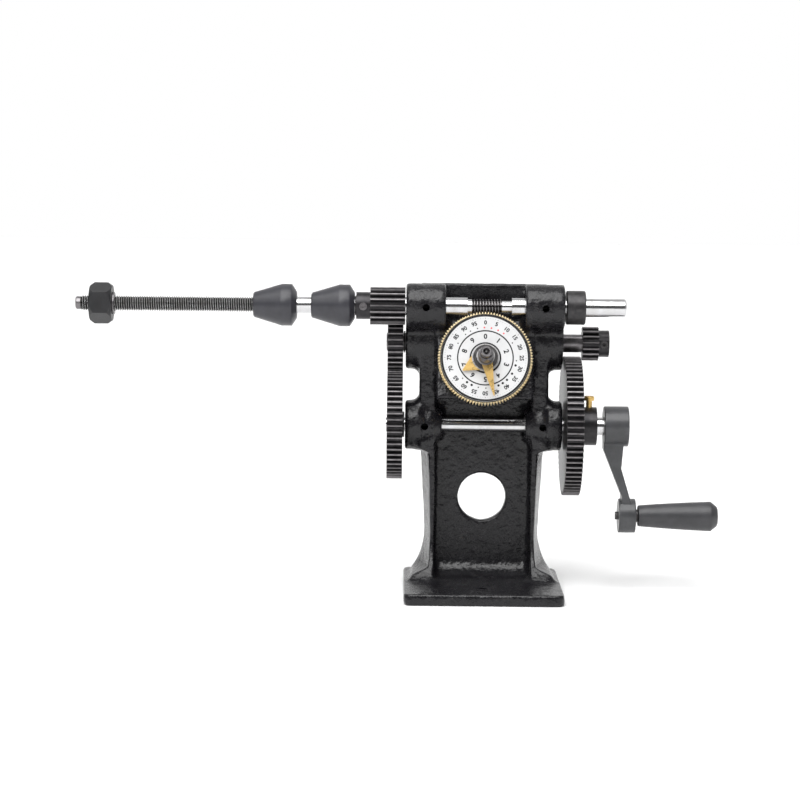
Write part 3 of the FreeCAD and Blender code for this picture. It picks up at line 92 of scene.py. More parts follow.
# Painted highlight on the counter wheels' teeth, and painted shade between them.
BRASS_TOOTH_HIGHLIGHT = ((0.98, 0.84, 0.55), (0.92, 0.72, 0.40))
BRASS_GAP_SHADE = (0.020, 0.014, 0.007)
PLATED = (0.46, 0.45, 0.45)
PLATE_WHITE = ((0.66, 0.66, 0.665), (0.60, 0.60, 0.605))
PRINT_BLACK = ((0.022, 0.022, 0.024), (0.008, 0.008, 0.009))
PRINT_RED = ((0.75, 0.14, 0.15), (0.62, 0.05, 0.07))
NYLON_CREAM = ((0.72, 0.69, 0.60), (0.60, 0.57, 0.48))
PAPER = ((0.98, 0.98, 0.98), (0.9653, 0.9653, 0.9653))


# ---------------------------------------------------------------- node graph helpers

# A wave texture in bands turns through this many radians for each unit of its scaled place.
WAVE_RADIANS = 20


class Graph:
    """Short names for the shader nodes that every material here is made of."""

    def __init__(self, name):
        self.material = bpy.data.materials.new(name)
        self.material.use_nodes = True
        self.tree = self.material.node_tree
        self.shader = self.tree.nodes["Principled BSDF"]

    def node(self, kind, **settings):
        made = self.tree.nodes.new(kind)
        for key, setting in settings.items():
            setattr(made, key, setting)
        return made

    def link(self, source, target):
        self.tree.links.new(source, target)

    def place(self):
        """Position in metres, in the piece's own coordinates."""
        return self.node("ShaderNodeTexCoord").outputs["Object"]

    def stretched(self, scale):
        mapping = self.node("ShaderNodeMapping")
        mapping.inputs["Scale"].default_value = scale
        self.link(self.place(), mapping.inputs["Vector"])
        return mapping.outputs["Vector"]

    def noise(self, size, detail=3.0, roughness=0.5, stretch=(1, 1, 1)):
        """Noise whose lumps are about this many millimetres across."""
        made = self.node("ShaderNodeTexNoise")
        made.inputs["Scale"].default_value = 1 / (size * MM)
        made.inputs["Detail"].default_value = detail
        made.inputs["Roughness"].default_value = roughness
        self.link(self.stretched(stretch), made.inputs["Vector"])
        return made.outputs["Fac"]

    def ramp(self, source, low, high, start, end):
        """Maps a source between two positions onto two numbers."""
        made = self.node("ShaderNodeMapRange")
        made.inputs["From Min"].default_value = low
        made.inputs["From Max"].default_value = high
        made.inputs["To Min"].default_value = start
        made.inputs["To Max"].default_value = end
        self.link(source, made.inputs["Value"])
        return made.outputs["Result"]

    def math(self, operation, first, second):
        made = self.node("ShaderNodeMath", operation=operation)
        for index, item in enumerate((first, second)):
            if isinstance(item, (int, float)):
                made.inputs[index].default_value = item
            else:
                self.link(item, made.inputs[index])
        return made.outputs["Value"]

    def mix(self, factor, first, second):
        """Colour between two colours or colour sockets."""
        made = self.node("ShaderNodeMix", data_type="RGBA")
        self.link(factor, made.inputs["Factor"])
        for socket, item in ((made.inputs[6], first), (made.inputs[7], second)):
            if isinstance(item, tuple):
                socket.default_value = (*item, 1)
            else:
                self.link(item, socket)
        return made.outputs[2]

    def bump(self, layers):
        """Chains (height source, depth in millimetres) layers into the shader's normal."""
        normal = None
        for height, depth in layers:
            made = self.node("ShaderNodeBump")
            made.inputs["Distance"].default_value = depth * MM
            made.inputs["Strength"].default_value = 1.0
            self.link(height, made.inputs["Height"])
            if normal is not None:
                self.link(normal, made.inputs["Normal"])
            normal = made.outputs["Normal"]
        self.link(normal, self.shader.inputs["Normal"])

    def set(self, **settings):
        """Numbers and colours that are the same all over the surface."""
        for name, setting in settings.items():
            socket = self.shader.inputs[name.replace("_", " ")]
            socket.default_value = (*setting, 1) if isinstance(setting, tuple) else setting

    def drive(self, name, source):
        self.link(source, self.shader.inputs[name])

    def clouded(self, pair, cloud, low=0.3, high=0.7):
        """The first colour of a pair where the cloud is low and the second where it is high."""
        return self.mix(self.ramp(cloud, low, high, 0, 1), *pair)

    def edges(self, low=0.52, high=0.62):
        """One on raised edges of a bevelled mesh, nought elsewhere."""
        return self.ramp(self.node("ShaderNodeNewGeometry").outputs["Pointiness"], low, high, 0.0, 1.0)

    def radius(self, point, axis):
        """Distance in metres from the line through a point along an axis."""
        offset = self.node("ShaderNodeVectorMath", operation="SUBTRACT")
        offset.inputs[1].default_value = point
        self.link(self.place(), offset.inputs[0])
        across = self.node("ShaderNodeVectorMath", operation="CROSS_PRODUCT")
        across.inputs[1].default_value = axis
        self.link(offset.outputs["Vector"], across.inputs[0])
        length = self.node("ShaderNodeVectorMath", operation="LENGTH")
        self.link(across.outputs["Vector"], length.inputs[0])
        return length.outputs["Value"]

    def between(self, axis, low, high, blur):
        """One between two planes across an axis (0, 1 or 2), in millimetres, and nought outside them."""
        parts = self.node("ShaderNodeSeparateXYZ")
        self.link(self.place(), parts.inputs["Vector"])
        place = parts.outputs[axis]
        rise = self.ramp(place, (low - blur) * MM, low * MM, 0, 1)
        fall = self.ramp(place, high * MM, (high + blur) * MM, 1, 0)
        return self.math("MULTIPLY", rise, fall)

    def turning_rings(self, length):
        """Fine tool marks around the X axis. Their wave turns one radian in this many millimetres."""
        wave = self.node("ShaderNodeTexWave", wave_type="BANDS", bands_direction="X", wave_profile="SIN")
        wave.inputs["Scale"].default_value = 1 / (WAVE_RADIANS * length * MM)
        wave.inputs["Distortion"].default_value = 0.4
        wave.inputs["Detail"].default_value = 1.0
        self.link(self.place(), wave.inputs["Vector"])
        return wave.outputs["Fac"]


# ---------------------------------------------------------------- materials

def cast_enamel():
    """Thick black enamel brushed over a sand casting, rubbed thin in places."""
    g = Graph("cast_enamel")
    lumps = g.noise(5.0, detail=4, roughness=0.6)
    sand = g.noise(0.9, detail=5, roughness=0.7)
    brushed = g.noise(2.2, detail=2, roughness=0.5)
    rub = g.ramp(g.noise(9.0, detail=6, roughness=0.7), 0.56, 0.72, 0.0, 1.0)
    g.drive("Base Color", g.mix(rub, g.clouded(ENAMEL, lumps), ENAMEL_RUBBED))
    gloss = g.ramp(sand, 0.3, 0.7, 0.17, 0.31)
    g.drive("Roughness", g.math("ADD", gloss, g.math("MULTIPLY", rub, 0.12)))
    g.set(Specular_IOR_Level=0.38)
    g.bump([(lumps, 0.6), (brushed, 0.28), (sand, 0.03)])
    return g.material


def black_oxide():
    """Blackened steel with fine machining and edges rubbed lighter."""
    g = Graph("black_oxide")
    cloud = g.noise(4.0, detail=4, roughness=0.6)
    grain = g.noise(0.35, detail=3, roughness=0.6, stretch=(1, 0.3, 0.3))
    wear_and_highlight = g.math("MULTIPLY", g.edges(), g.ramp(cloud, 0.35, 0.6, 0.25, 1.0))
    g.drive("Base Color", g.mix(wear_and_highlight, g.clouded(OXIDE_BLACK, cloud), OXIDE_WORN))
    g.drive("Roughness", g.ramp(grain, 0.3, 0.7, 0.30, 0.50))
    g.set(Metallic=0.55, Specular_IOR_Level=0.6)
    g.bump([(grain, 0.02), (cloud, 0.03)])
    return g.material


def gear_steel(node, axis_point):
    """Blackened gear whose tooth tips are painted lighter as a highlight, found from its own outside radius."""
    g = Graph(node + "_steel")
    low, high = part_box(node)
    tip = (high.z - low.z) / 2
    cloud = g.noise(4.0, detail=4, roughness=0.6)
    grain = g.noise(0.35, detail=3, roughness=0.6)
    land = g.ramp(g.radius(axis_point, ALONG_X), tip - 0.7 * MM, tip - 0.15 * MM, 0, 1)
    # Painted highlight: the tooth lands near the outside radius are lighter, in a cloud.
    wear_and_highlight = g.math("MULTIPLY", land, g.ramp(cloud, 0.3, 0.6, 0.55, 1.0))
    g.drive("Base Color", g.mix(wear_and_highlight, g.clouded(GEAR_BLACK, cloud), GEAR_TIP_HIGHLIGHT))
    g.drive("Roughness", g.ramp(grain, 0.3, 0.7, 0.28, 0.42))
    g.set(Metallic=0.6, Specular_IOR_Level=0.5)
    g.bump([(grain, 0.015), (cloud, 0.03)])
    return g.material


def smooth_paint(name, colours, gloss=0.38):
    """Smooth dark paint with a faint cloud, thin on the corners."""
    g = Graph(name)
    cloud = g.noise(7.0, detail=4, roughness=0.55)
    grain = g.noise(0.5, detail=3, roughness=0.6)
    wear_and_highlight = g.math("MULTIPLY", g.edges(0.54, 0.66), g.ramp(cloud, 0.4, 0.6, 0.0, 0.7))
    g.drive("Base Color", g.mix(wear_and_highlight, g.clouded(colours, cloud), PAINT_WORN))
    g.drive("Roughness", g.ramp(grain, 0.3, 0.7, gloss - 0.06, gloss + 0.08))
    g.set(Specular_IOR_Level=0.5)
    g.bump([(grain, 0.02), (cloud, 0.05)])
    return g.material


def grip_plastic():
    """Moulded black grip with a faint pebble."""
    g = Graph("grip_plastic")
    pebble = g.noise(0.45, detail=2)
    g.drive("Base Color", g.clouded(GRIP_BLACK, g.noise(9.0, detail=3)))
    g.drive("Roughness", g.ramp(pebble, 0.3, 0.7, 0.36, 0.50))
    g.set(Specular_IOR_Level=0.5)
    g.bump([(pebble, 0.025)])
    return g.material


WORM_ENDS = (-8.6, 10.4)
WORM_RADII = (4.2, 5.0)
# Width of the painted shade under each oil hole, in millimetres.
HOLE_SHADE_WIDTH = 5.4


def bright_steel(name, worm=False, shaded_under_holes=False):
    """Turned and ground shafts with faint rings and handling stains.

    The worm's turns are painted darker towards their roots, as shade between them. A shaft can be painted black
    under its bearings' two oil holes, as shade that keeps the holes dark.
    """
    g = Graph(name)
    rings = g.turning_rings(0.22)
    stain = g.noise(6.0, detail=5, roughness=0.6, stretch=(1, 0.5, 0.5))
    metal = g.clouded(STEEL_BRIGHT, stain, 0.42, 0.72)
    if worm:
        root, crest = WORM_RADII
        # Painted shade: darker towards the roots of the worm's turns.
        height = g.ramp(g.radius(SPINDLE, ALONG_X), root * MM, crest * MM, 0, 1)
        thread = g.mix(height, WORM_ROOT_SHADE, WORM_CREST)
        metal = g.mix(g.between(0, *WORM_ENDS, 0.6), metal, thread)
    # Painted shade: black on the shaft under each oil hole, so that the holes look dark inside.
    if shaded_under_holes:
        for x in (-OIL_HOLE_X, OIL_HOLE_X):
            hole_shade_mask = g.between(0, x - HOLE_SHADE_WIDTH / 2, x + HOLE_SHADE_WIDTH / 2, 0.3)
            metal = g.mix(hole_shade_mask, metal, HOLE_SHADE)
    g.drive("Base Color", metal)
    stained = g.ramp(stain, 0.4, 0.7, 0.0, 0.05)
    g.drive("Roughness", g.math("ADD", g.ramp(rings, 0, 1, 0.16, 0.19), stained))
    g.set(Metallic=1.0)
    g.bump([(rings, 0.0004)])
    return g.material


def threaded_steel():
    """Rolled thread. Its crests are bright and its roots, nearer the axis, are painted dark as shade between the
    turns.
    """
    g = Graph("threaded_steel")
    radius = g.radius(SPINDLE, ALONG_X)
    crest = g.ramp(radius, (THREAD_RADIUS - 0.65) * MM, (THREAD_RADIUS - 0.05) * MM, 0, 1)
    stain = g.noise(5.0, detail=5, roughness=0.65)
    # Painted shade: dark towards the thread's roots.
    g.drive("Base Color", g.mix(crest, THREAD_ROOT_SHADE, g.clouded(THREAD_CREST, stain, 0.35)))
    g.drive("Roughness", g.ramp(stain, 0.3, 0.7, 0.24, 0.42))
    g.set(Metallic=0.9)
    g.bump([(g.noise(0.3), 0.01)])
    return g.material


TOOTH_RADII = (29.45, 30.0)


def brass(name, teeth=False, core=0.0):
    """Machined brass with a light tarnish. Between the counter wheels' teeth it is painted black as shade, and the
    teeth are painted lighter as a highlight.

    Within the core, a radius in millimetres from the dial's axis, it is plated grey.
    """
    g = Graph(name)
    cloud = g.noise(3.0, detail=5, roughness=0.65)
    body = g.clouded(BRASS_BODY, cloud, 0.35)
    if teeth:
        # Painted shade between the teeth and a painted highlight on them.
        gap, tooth = TOOTH_RADII
        land = g.ramp(g.radius(DIAL_CENTRE, DIAL_NORMAL), gap * MM, tooth * MM, 0, 1)
        body = g.mix(land, BRASS_GAP_SHADE, g.clouded(BRASS_TOOTH_HIGHLIGHT, cloud, 0.35))
    if core:
        radius = g.radius(DIAL_CENTRE, DIAL_NORMAL)
        outside = g.ramp(radius, (core - 0.1) * MM, (core + 0.1) * MM, 0, 1)
        body = g.mix(outside, PLATED, body)
    g.drive("Base Color", body)
    g.drive("Roughness", g.ramp(cloud, 0.3, 0.7, 0.22, 0.40))
    g.set(Metallic=0.6 if teeth else 0.9)
    g.bump([(g.noise(0.25, detail=2), 0.008)])
    return g.material


def printed_white():
    """White printed metal sheet."""
    g = Graph("printed_white")
    cloud = g.noise(6.0, detail=4, roughness=0.6)
    g.drive("Base Color", g.clouded(PLATE_WHITE, cloud, 0.35, 0.75))
    g.drive("Roughness", g.ramp(cloud, 0.3, 0.7, 0.40, 0.52))
    g.set(Specular_IOR_Level=0.3)
    g.bump([(g.noise(0.4), 0.006)])
    return g.material


def ink(name, colours):
    """Printing ink, a little thinner in places."""
    g = Graph(name)
    cloud = g.noise(0.8, detail=4, roughness=0.6)
    g.drive("Base Color", g.clouded(colours, cloud, 0.35))
    g.drive("Roughness", g.ramp(cloud, 0.3, 0.7, 0.5, 0.65))
    g.set(Specular_IOR_Level=0.2)
    return g.material


def dull_steel():
    """Handled steel, dark between its tool marks."""
    g = Graph("dull_steel")
    grain = g.noise(0.3, detail=3, roughness=0.6)
    g.drive("Base Color", g.clouded(STEEL_DULL, g.noise(3.0, detail=4, roughness=0.6)))
    g.drive("Roughness", g.ramp(grain, 0.3, 0.7, 0.26, 0.42))
    g.set(Metallic=0.9)
    g.bump([(grain, 0.015)])
    return g.material


def nylon():
    """Natural nylon of the friction pad."""
    g = Graph("nylon")
    cloud = g.noise(1.5, detail=3)
    g.drive("Base Color", g.clouded(NYLON_CREAM, cloud))
    g.drive("Roughness", g.ramp(cloud, 0.3, 0.7, 0.45, 0.6))
    return g.material


def studio_paper():
    """White paper of the floor."""
    g = Graph("floor_paper")
    g.drive("Base Color", g.mix(g.noise(400.0, detail=2), *PAPER))
    g.set(Roughness=0.9, Specular_IOR_Level=0.1)
    return g.material


CAST = cast_enamel()
OXIDE = black_oxide()
CONE_PAINT = smooth_paint("cone_paint", CONE_GREY)
NUT_PAINT = smooth_paint("nut_paint", NUT_BLACK)
CRANK_PAINT = smooth_paint("crank_paint", CRANK_GREY, gloss=0.33)
GRIP = grip_plastic()
STEEL = bright_steel("bright_steel")
SPINDLE_STEEL = bright_steel("spindle_steel", worm=True, shaded_under_holes=True)
CRANKSHAFT_STEEL = bright_steel("crankshaft_steel", shaded_under_holes=True)
THREAD = threaded_steel()
BRASS = brass("brass")
TOOTHED_BRASS = brass("toothed_brass", teeth=True)
SHORT_POINTER_BRASS = brass("short_pointer_brass", core=9.0)
LONG_POINTER_BRASS = brass("long_pointer_brass", core=6.1)
WHITE = printed_white()
INK = ink("black_ink", PRINT_BLACK)
RED_INK = ink("red_ink", PRINT_RED)
NYLON = nylon()
DULL = dull_steel()


# ---------------------------------------------------------------- mesh helpers

# Distances in millimetres, angles in degrees.
MERGE_DISTANCE = 0.002
TURNED_MERGE_DISTANCE = 0.001
FLAT_ANGLE = 0.3
BEVEL_ANGLE = 28
SHARP_ANGLE = 32
EDGE = 0.12
THIN_EDGE = 0.1
FINE_EDGE = 0.06


def new_piece(name, mesh, material, body, replaced=()):
    """Links a mesh as a piece that rides on a body."""
    piece = bpy.data.objects.new(name, mesh)
    bpy.context.scene.collection.objects.link(piece)
    mesh.materials.clear()
    mesh.materials.append(material)
    if replaced:
        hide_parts(*replaced)
    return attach(piece, body)


def from_bmesh(name, bm):
    mesh = bpy.data.meshes.new(name)
    bmesh.ops.recalc_face_normals(bm, faces=bm.faces)
    bm.to_mesh(mesh)
    bm.free()
    return mesh


def smooth_by_angle(mesh, degrees):
    """Shades smooth, with sharp edges where faces meet at more than this angle."""
    for polygon in mesh.polygons:
        polygon.use_smooth = True
    bm = bmesh.new()
    bm.from_mesh(mesh)
    limit = math.radians(degrees)
    for edge in bm.edges:
        edge.smooth = len(edge.link_faces) == 2 and edge.calc_face_angle(0) < limit
    bm.to_mesh(mesh)
    bm.free()


def with_modifiers(mesh, steps):
    """A new mesh: the given one with modifiers applied, in order. Each step is (type, settings)."""
    carrier = bpy.data.objects.new("carrier", mesh)
    bpy.context.scene.collection.objects.link(carrier)
    for kind, settings in steps:
        modifier = carrier.modifiers.new(kind, kind)
        for key, setting in settings.items():
            setattr(modifier, key, setting)
    graph = bpy.context.evaluated_depsgraph_get()
    graph.update()
    result = bpy.data.meshes.new_from_object(carrier.evaluated_get(graph))
    bpy.data.objects.remove(carrier)
    return result


def cad_mesh(node):
    """A copy of a CAD node's mesh, its doubled vertices merged and its flat faces dissolved."""
    bm = bmesh.new()
    bm.from_mesh(NODES[node].data)
    bmesh.ops.remove_doubles(bm, verts=bm.verts, dist=MERGE_DISTANCE * MM)
    flat = math.radians(FLAT_ANGLE)
    bmesh.ops.dissolve_limit(bm, angle_limit=flat, verts=bm.verts, edges=bm.edges)
    return from_bmesh(node + "_copy", bm)


def bevelled(mesh, width, segments=2):
    """A mesh with its sharp edges broken, its rounded faces shaded smooth and its flat ones flat."""
    bevel = dict(width=width * MM, segments=segments, limit_method="ANGLE", use_clamp_overlap=True,
                 angle_limit=math.radians(BEVEL_ANGLE), harden_normals=False)
    mesh = with_modifiers(mesh, [("BEVEL", bevel)])
    smooth_by_angle(mesh, SHARP_ANGLE)
    return with_modifiers(mesh, [("WEIGHTED_NORMAL", dict(keep_sharp=True, weight=90))])


def edged(node, material, width=EDGE, segments=2):
    """The CAD node with its sharp edges broken."""
    mesh = bevelled(cad_mesh(node), width, segments)
    return new_piece(node + "_piece", mesh, material, BODY_OF[node], [node])


def turns(count):
    """The angles of this many equal steps around a circle."""
    return [2 * math.pi * index / count for index in range(count)]


def bridge(bm, rings):
    """Joins neighbouring rings, of equally many points each, with four-sided faces."""
    for first, second in zip(rings, rings[1:]):
        for index in range(len(first)):
            following = (index + 1) % len(first)
            bm.faces.new((first[index], first[following], second[following], second[index]))


def lathe(name, profile, centre, direction, segments=96):
    """Mesh turned about an axis. The profile is (distance along the axis, radius) in millimetres."""
    direction = direction.normalized()
    side = direction.orthogonal().normalized()
    other = direction.cross(side)
    bm = bmesh.new()
    rings = []
    for along, radius in profile:
        middle = centre + direction * along * MM
        if radius == 0:
            rings.append([bm.verts.new(middle)])
            continue
        rings.append([
            bm.verts.new(middle + (side * math.cos(turn) + other * math.sin(turn)) * radius * MM)
            for turn in turns(segments)
        ])
    for first, second in zip(rings, rings[1:]):
        for index in range(segments):
            following = (index + 1) % segments
            corners = [first[index % len(first)], first[following % len(first)],
                       second[following % len(second)], second[index % len(second)]]
            corners = [corner for place, corner in enumerate(corners) if corner not in corners[:place]]
            if len(corners) > 2:
                bm.faces.new(corners)
    bmesh.ops.remove_doubles(bm, verts=bm.verts, dist=TURNED_MERGE_DISTANCE * MM)
    return from_bmesh(name, bm)


def half(node, point, direction):
    """The part of a CAD node's mesh that lies beyond a plane, closed where it was cut."""
    bm = bmesh.new()
    bm.from_mesh(cad_mesh(node))
    geometry = bm.verts[:] + bm.edges[:] + bm.faces[:]
    bmesh.ops.bisect_plane(bm, geom=geometry, plane_co=point, plane_no=direction, clear_inner=True)
    bmesh.ops.holes_fill(bm, edges=[edge for edge in bm.edges if edge.is_boundary], sides=0)
    return from_bmesh(node + "_half", bm)


# ---------------------------------------------------------------- cast frame

VOXEL = 0.9
FILLET = 3.0
LUMP_SIZE = 7.0
LUMP_DEPTH = 0.45
SKIN_SIZE = 2.6
SKIN_DEPTH = 0.16

# The draft narrows what lies beyond the cheeks' inner sides, more towards the front. It fades in above the
# foot and out below the crankshaft. Above the waist, what stands farthest out keeps its place.
CHEEK_INSIDE = 32.0
CHEEK_BACK = 34.0
DRAFT = 0.6 / 26
DRAFT_LIMIT = 0.65
FOOT_FADE = (11, 17)
TOP_FADE = (91, 95)
WAIST_FADE = (45, 60)
OUTSIDE_FADE = (43.5, 45.5)

SHAFT_BORE = 6.05
NARROW_BORE = 4.80
OIL_HOLE_RADIUS = 2.35
OIL_HOLE_DEPTH = 60
BOLT_HOLE_RADIUS = 3.0
BOLT_HOLES_Y = (-26, 43)
FRICTION_HOLE_RADIUS = 2.52
FRICTION_HOLE_X = 46
POST_HOLE_RADIUS = 3.02
POST_HOLE = (14, 2)
OVERSHOOT = 3


def hole_cutters():
    """Cylinders for the holes that the casting's rounding closes or blunts."""
    low, high = (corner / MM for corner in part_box("frame_casting"))
    spindle, lay, crank = (axis / MM for axis in (SPINDLE, LAYSHAFT, CRANKSHAFT))
    left, right = low.x - OVERSHOOT, high.x + OVERSHOOT
    cutters = [
        (Vector((left, spindle.y, spindle.z)), ALONG_X, SHAFT_BORE, right - left),
        (Vector((left, lay.y, lay.z)), ALONG_X, SHAFT_BORE, right - left),
        (Vector((0, crank.y, crank.z)), ALONG_X, SHAFT_BORE, right),
        (Vector((left, crank.y, crank.z)), ALONG_X, NARROW_BORE, -left),
    ]
    for axis in (spindle, crank):
        for x in (-OIL_HOLE_X, OIL_HOLE_X):
            place = Vector((x, axis.y, axis.z))
            cutters.append((place, Vector((0, -1, 0)), OIL_HOLE_RADIUS, OIL_HOLE_DEPTH))
    for y in BOLT_HOLES_Y:
        cutters.append((Vector((0, y, -5)), Vector((0, 0, 1)), BOLT_HOLE_RADIUS, 20))
    friction_hole = Vector((FRICTION_HOLE_X, lay.y, lay.z))
    cutters.append((friction_hole, Vector((0, 1, 0)), FRICTION_HOLE_RADIUS, 30))
    back, front = POST_HOLE
    cutters.append((DIAL_CENTRE / MM - DIAL_NORMAL * back, DIAL_NORMAL, POST_HOLE_RADIUS, back - front))
    return cutters


def lumps(name, size, depth):
    """Modifier step that swells and sinks a surface by half of depth, in lumps of about this size."""
    texture = bpy.data.textures.new(name, "CLOUDS")
    texture.noise_scale = size * MM
    texture.noise_depth = 2
    settings = dict(texture=texture, strength=depth * MM, mid_level=0.5, direction="NORMAL")
    return ("DISPLACE", dict(settings, texture_coords="LOCAL"))


def kept_inside(mesh, node):
    """Moves the points that stand outside the CAD node's box back onto it."""
    low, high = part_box(node)
    for vertex in mesh.vertices:
        for axis in range(3):
            vertex.co[axis] = min(max(vertex.co[axis], low[axis]), high[axis])


def eased(number, low, high):
    """Nought below low, one above high, smooth between."""
    share = min(1, max(0, (number - low) / (high - low)))
    return share * share * (3 - 2 * share)


def give_draft(mesh):
    """Narrows both cheeks towards the front below the crankshaft, as the pattern's draft does."""
    for vertex in mesh.vertices:
        x, y, z = vertex.co / MM
        beyond = abs(x) - CHEEK_INSIDE
        if beyond <= 0:
            continue
        share = min(DRAFT_LIMIT, DRAFT * max(0, CHEEK_BACK - y))
        share *= eased(z, *FOOT_FADE) * (1 - eased(z, *TOP_FADE))
        share *= 1 - eased(z, *WAIST_FADE) * eased(abs(x), *OUTSIDE_FADE)
        vertex.co.x = math.copysign(CHEEK_INSIDE + beyond * (1 - share), x) * MM


def bored(mesh, cutters):
    """The mesh with round holes. Each cutter is (start, direction, radius, length) in millimetres."""
    bm = bmesh.new()
    for base, direction, radius, length in cutters:
        spin = direction.to_track_quat("Z", "Y").to_matrix().to_4x4()
        middle = (base + direction * length / 2) * MM
        bmesh.ops.create_cone(
            bm, cap_ends=True, segments=48, radius1=radius * MM, radius2=radius * MM, depth=length * MM,
            matrix=Matrix.Translation(middle) @ spin)
    carrier = bpy.data.objects.new("cutter", from_bmesh("cutter", bm))
    bpy.context.scene.collection.objects.link(carrier)
    difference = dict(object=carrier, operation="DIFFERENCE", solver="EXACT", use_self=True)
    mesh = with_modifiers(mesh, [("BOOLEAN", difference)])
    bpy.data.objects.remove(carrier)
    return mesh


def cast_frame():
    """The casting with fillets in its corners, blunt edges and the skin of a sand mould."""
    remesh = ("REMESH", dict(mode="VOXEL", voxel_size=VOXEL * MM, use_smooth_shade=True))
    grown = ("DISPLACE", dict(strength=FILLET * MM, mid_level=0.0, direction="NORMAL"))
    shrunk = ("DISPLACE", dict(strength=-FILLET * MM, mid_level=0.0, direction="NORMAL"))
    mesh = with_modifiers(cad_mesh("frame_casting"), [
        remesh, grown, remesh, ("SMOOTH", dict(factor=0.5, iterations=2)), shrunk, remesh,
        ("SMOOTH", dict(factor=0.5, iterations=7)),
        lumps("lumps", LUMP_SIZE, LUMP_DEPTH), lumps("skin", SKIN_SIZE, SKIN_DEPTH),
    ])
    give_draft(mesh)
    kept_inside(mesh, "frame_casting")
    mesh = bored(mesh, hole_cutters())
    smooth_by_angle(mesh, 40)
    return new_piece("cast_frame", mesh, CAST, "frame", ["frame_casting"])


# ---------------------------------------------------------------- spindle with a real thread

THREAD_PITCH = 1.5
THREAD_DEPTH = 0.92
CREST_SHARE = 0.10
FLANK_SHARE = 0.72
SAMPLES_PER_PITCH = 12


def thread_radius(along, turn):
    """Radius of a right-hand thread at a distance along the rod and an angle around it."""
    phase = (along / THREAD_PITCH - turn / (2 * math.pi)) % 1
    slope = abs(phase - 0.5) * 2
    return THREAD_RADIUS - THREAD_DEPTH * min(1, max(0, (slope - CREST_SHARE) / FLANK_SHARE))


def threaded_rod(name, start, end, centre, segments=36):
    """Threaded stretch of the mandrel between two stations, closed at both ends."""
    count = round((end - start) / THREAD_PITCH * SAMPLES_PER_PITCH)
    step = (end - start) / count
    bm = bmesh.new()
    rings = []
    for index in range(count + 1):
        along = start + index * step
        fade = min(1, (along - start) / THREAD_PITCH, (end - along) / THREAD_PITCH)
        ring = []
        for turn in turns(segments):
            radius = thread_radius(along, turn) * fade + (THREAD_RADIUS - THREAD_DEPTH) * (1 - fade)
            y = centre.y + radius * math.cos(turn) * MM
            z = centre.z + radius * math.sin(turn) * MM
            ring.append(bm.verts.new((along * MM, y, z)))
        rings.append(ring)
    bridge(bm, rings)
    bm.faces.new(rings[0])
    bm.faces.new(rings[-1])
    return from_bmesh(name, bm)


THREAD_LEFT = -266.0
THREAD_RIGHT = -138.0
TIP_RADIUS = 4.2
TIP_CHAMFER = 0.6


def spindle_pieces():
    """The spindle's plain right part from the frame, its left part with a real thread, and its tip."""
    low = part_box("spindle")[0]
    end = low.x / MM
    cut = Vector(((THREAD_RIGHT + 0.3) * MM, 0, 0))
    plain = bevelled(half("spindle", cut, ALONG_X), 0.15)
    new_piece("spindle_plain", plain, SPINDLE_STEEL, "spindle_set", ["spindle"])

    rod = threaded_rod("mandrel_thread", THREAD_LEFT, THREAD_RIGHT + 0.6, SPINDLE)
    smooth_by_angle(rod, 50)
    new_piece("mandrel_thread", rod, THREAD, "spindle_set", ["spindle"])

    root = THREAD_LEFT + 0.2
    profile = [(end, 0), (end, TIP_RADIUS - TIP_CHAMFER), (end + TIP_CHAMFER, TIP_RADIUS),
               (root, TIP_RADIUS), (root, 0)]
    tip = lathe("mandrel_tip", profile, Vector((0, SPINDLE.y, SPINDLE.z)), ALONG_X)
    smooth_by_angle(tip, SHARP_ANGLE)
    new_piece("mandrel_tip", tip, DULL, "spindle_set", ["spindle"])


# ---------------------------------------------------------------- cones, grip and crank

CONE_BORE = 5.4
CONE_NARROWING = 5.5
CONE_BAND = 10.0
CONE_CHAMFER = 3.2
SCREW_HOLE_RADIUS = 2.52


def cone_piece(node):
    """Clamping cone as a smooth turned form, with the hole for its set screw."""
    low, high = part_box(node)
    start, end, radius = low.x / MM, high.x / MM, (high.z - low.z) / 2 / MM
    narrow, shoulder, bevel = radius - CONE_NARROWING, end - CONE_BAND, end - CONE_CHAMFER
    profile = [
        (start, CONE_BORE), (start, narrow - 1.1), (start + 0.3, narrow - 0.45),
        (start + 0.9, narrow + 0.1), (shoulder - 0.5, radius - 0.2), (shoulder + 0.2, radius),
        (bevel - 0.4, radius), (bevel, radius - 0.15), (bevel + 0.3, radius - 0.55),
        (end - 0.3, radius - 4.6), (end, radius - 5.4), (end, CONE_BORE), (start, CONE_BORE)]
    mesh = lathe(node + "_turned", profile, Vector((0, SPINDLE.y, SPINDLE.z)), ALONG_X, 128)
    screw_low, screw_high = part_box(node + "_screw")
    middle = (screw_low + screw_high) / 2 / MM
    hole = Vector((middle.x, SPINDLE.y / MM, SPINDLE.z / MM + 6))
    mesh = bored(mesh, [(hole, Vector((0, 0, 1)), SCREW_HOLE_RADIUS, 12)])
    smooth_by_angle(mesh, 25)
    return new_piece(node + "_turned", mesh, CONE_PAINT, BODY_OF[node], [node])


GRIP_BORE = 2.9
GRIP_INNER = 7.1
GRIP_OUTER = 9.9
GRIP_NOSE = 4.7
GRIP_BULGE = 0.08
GRIP_STEPS = 12


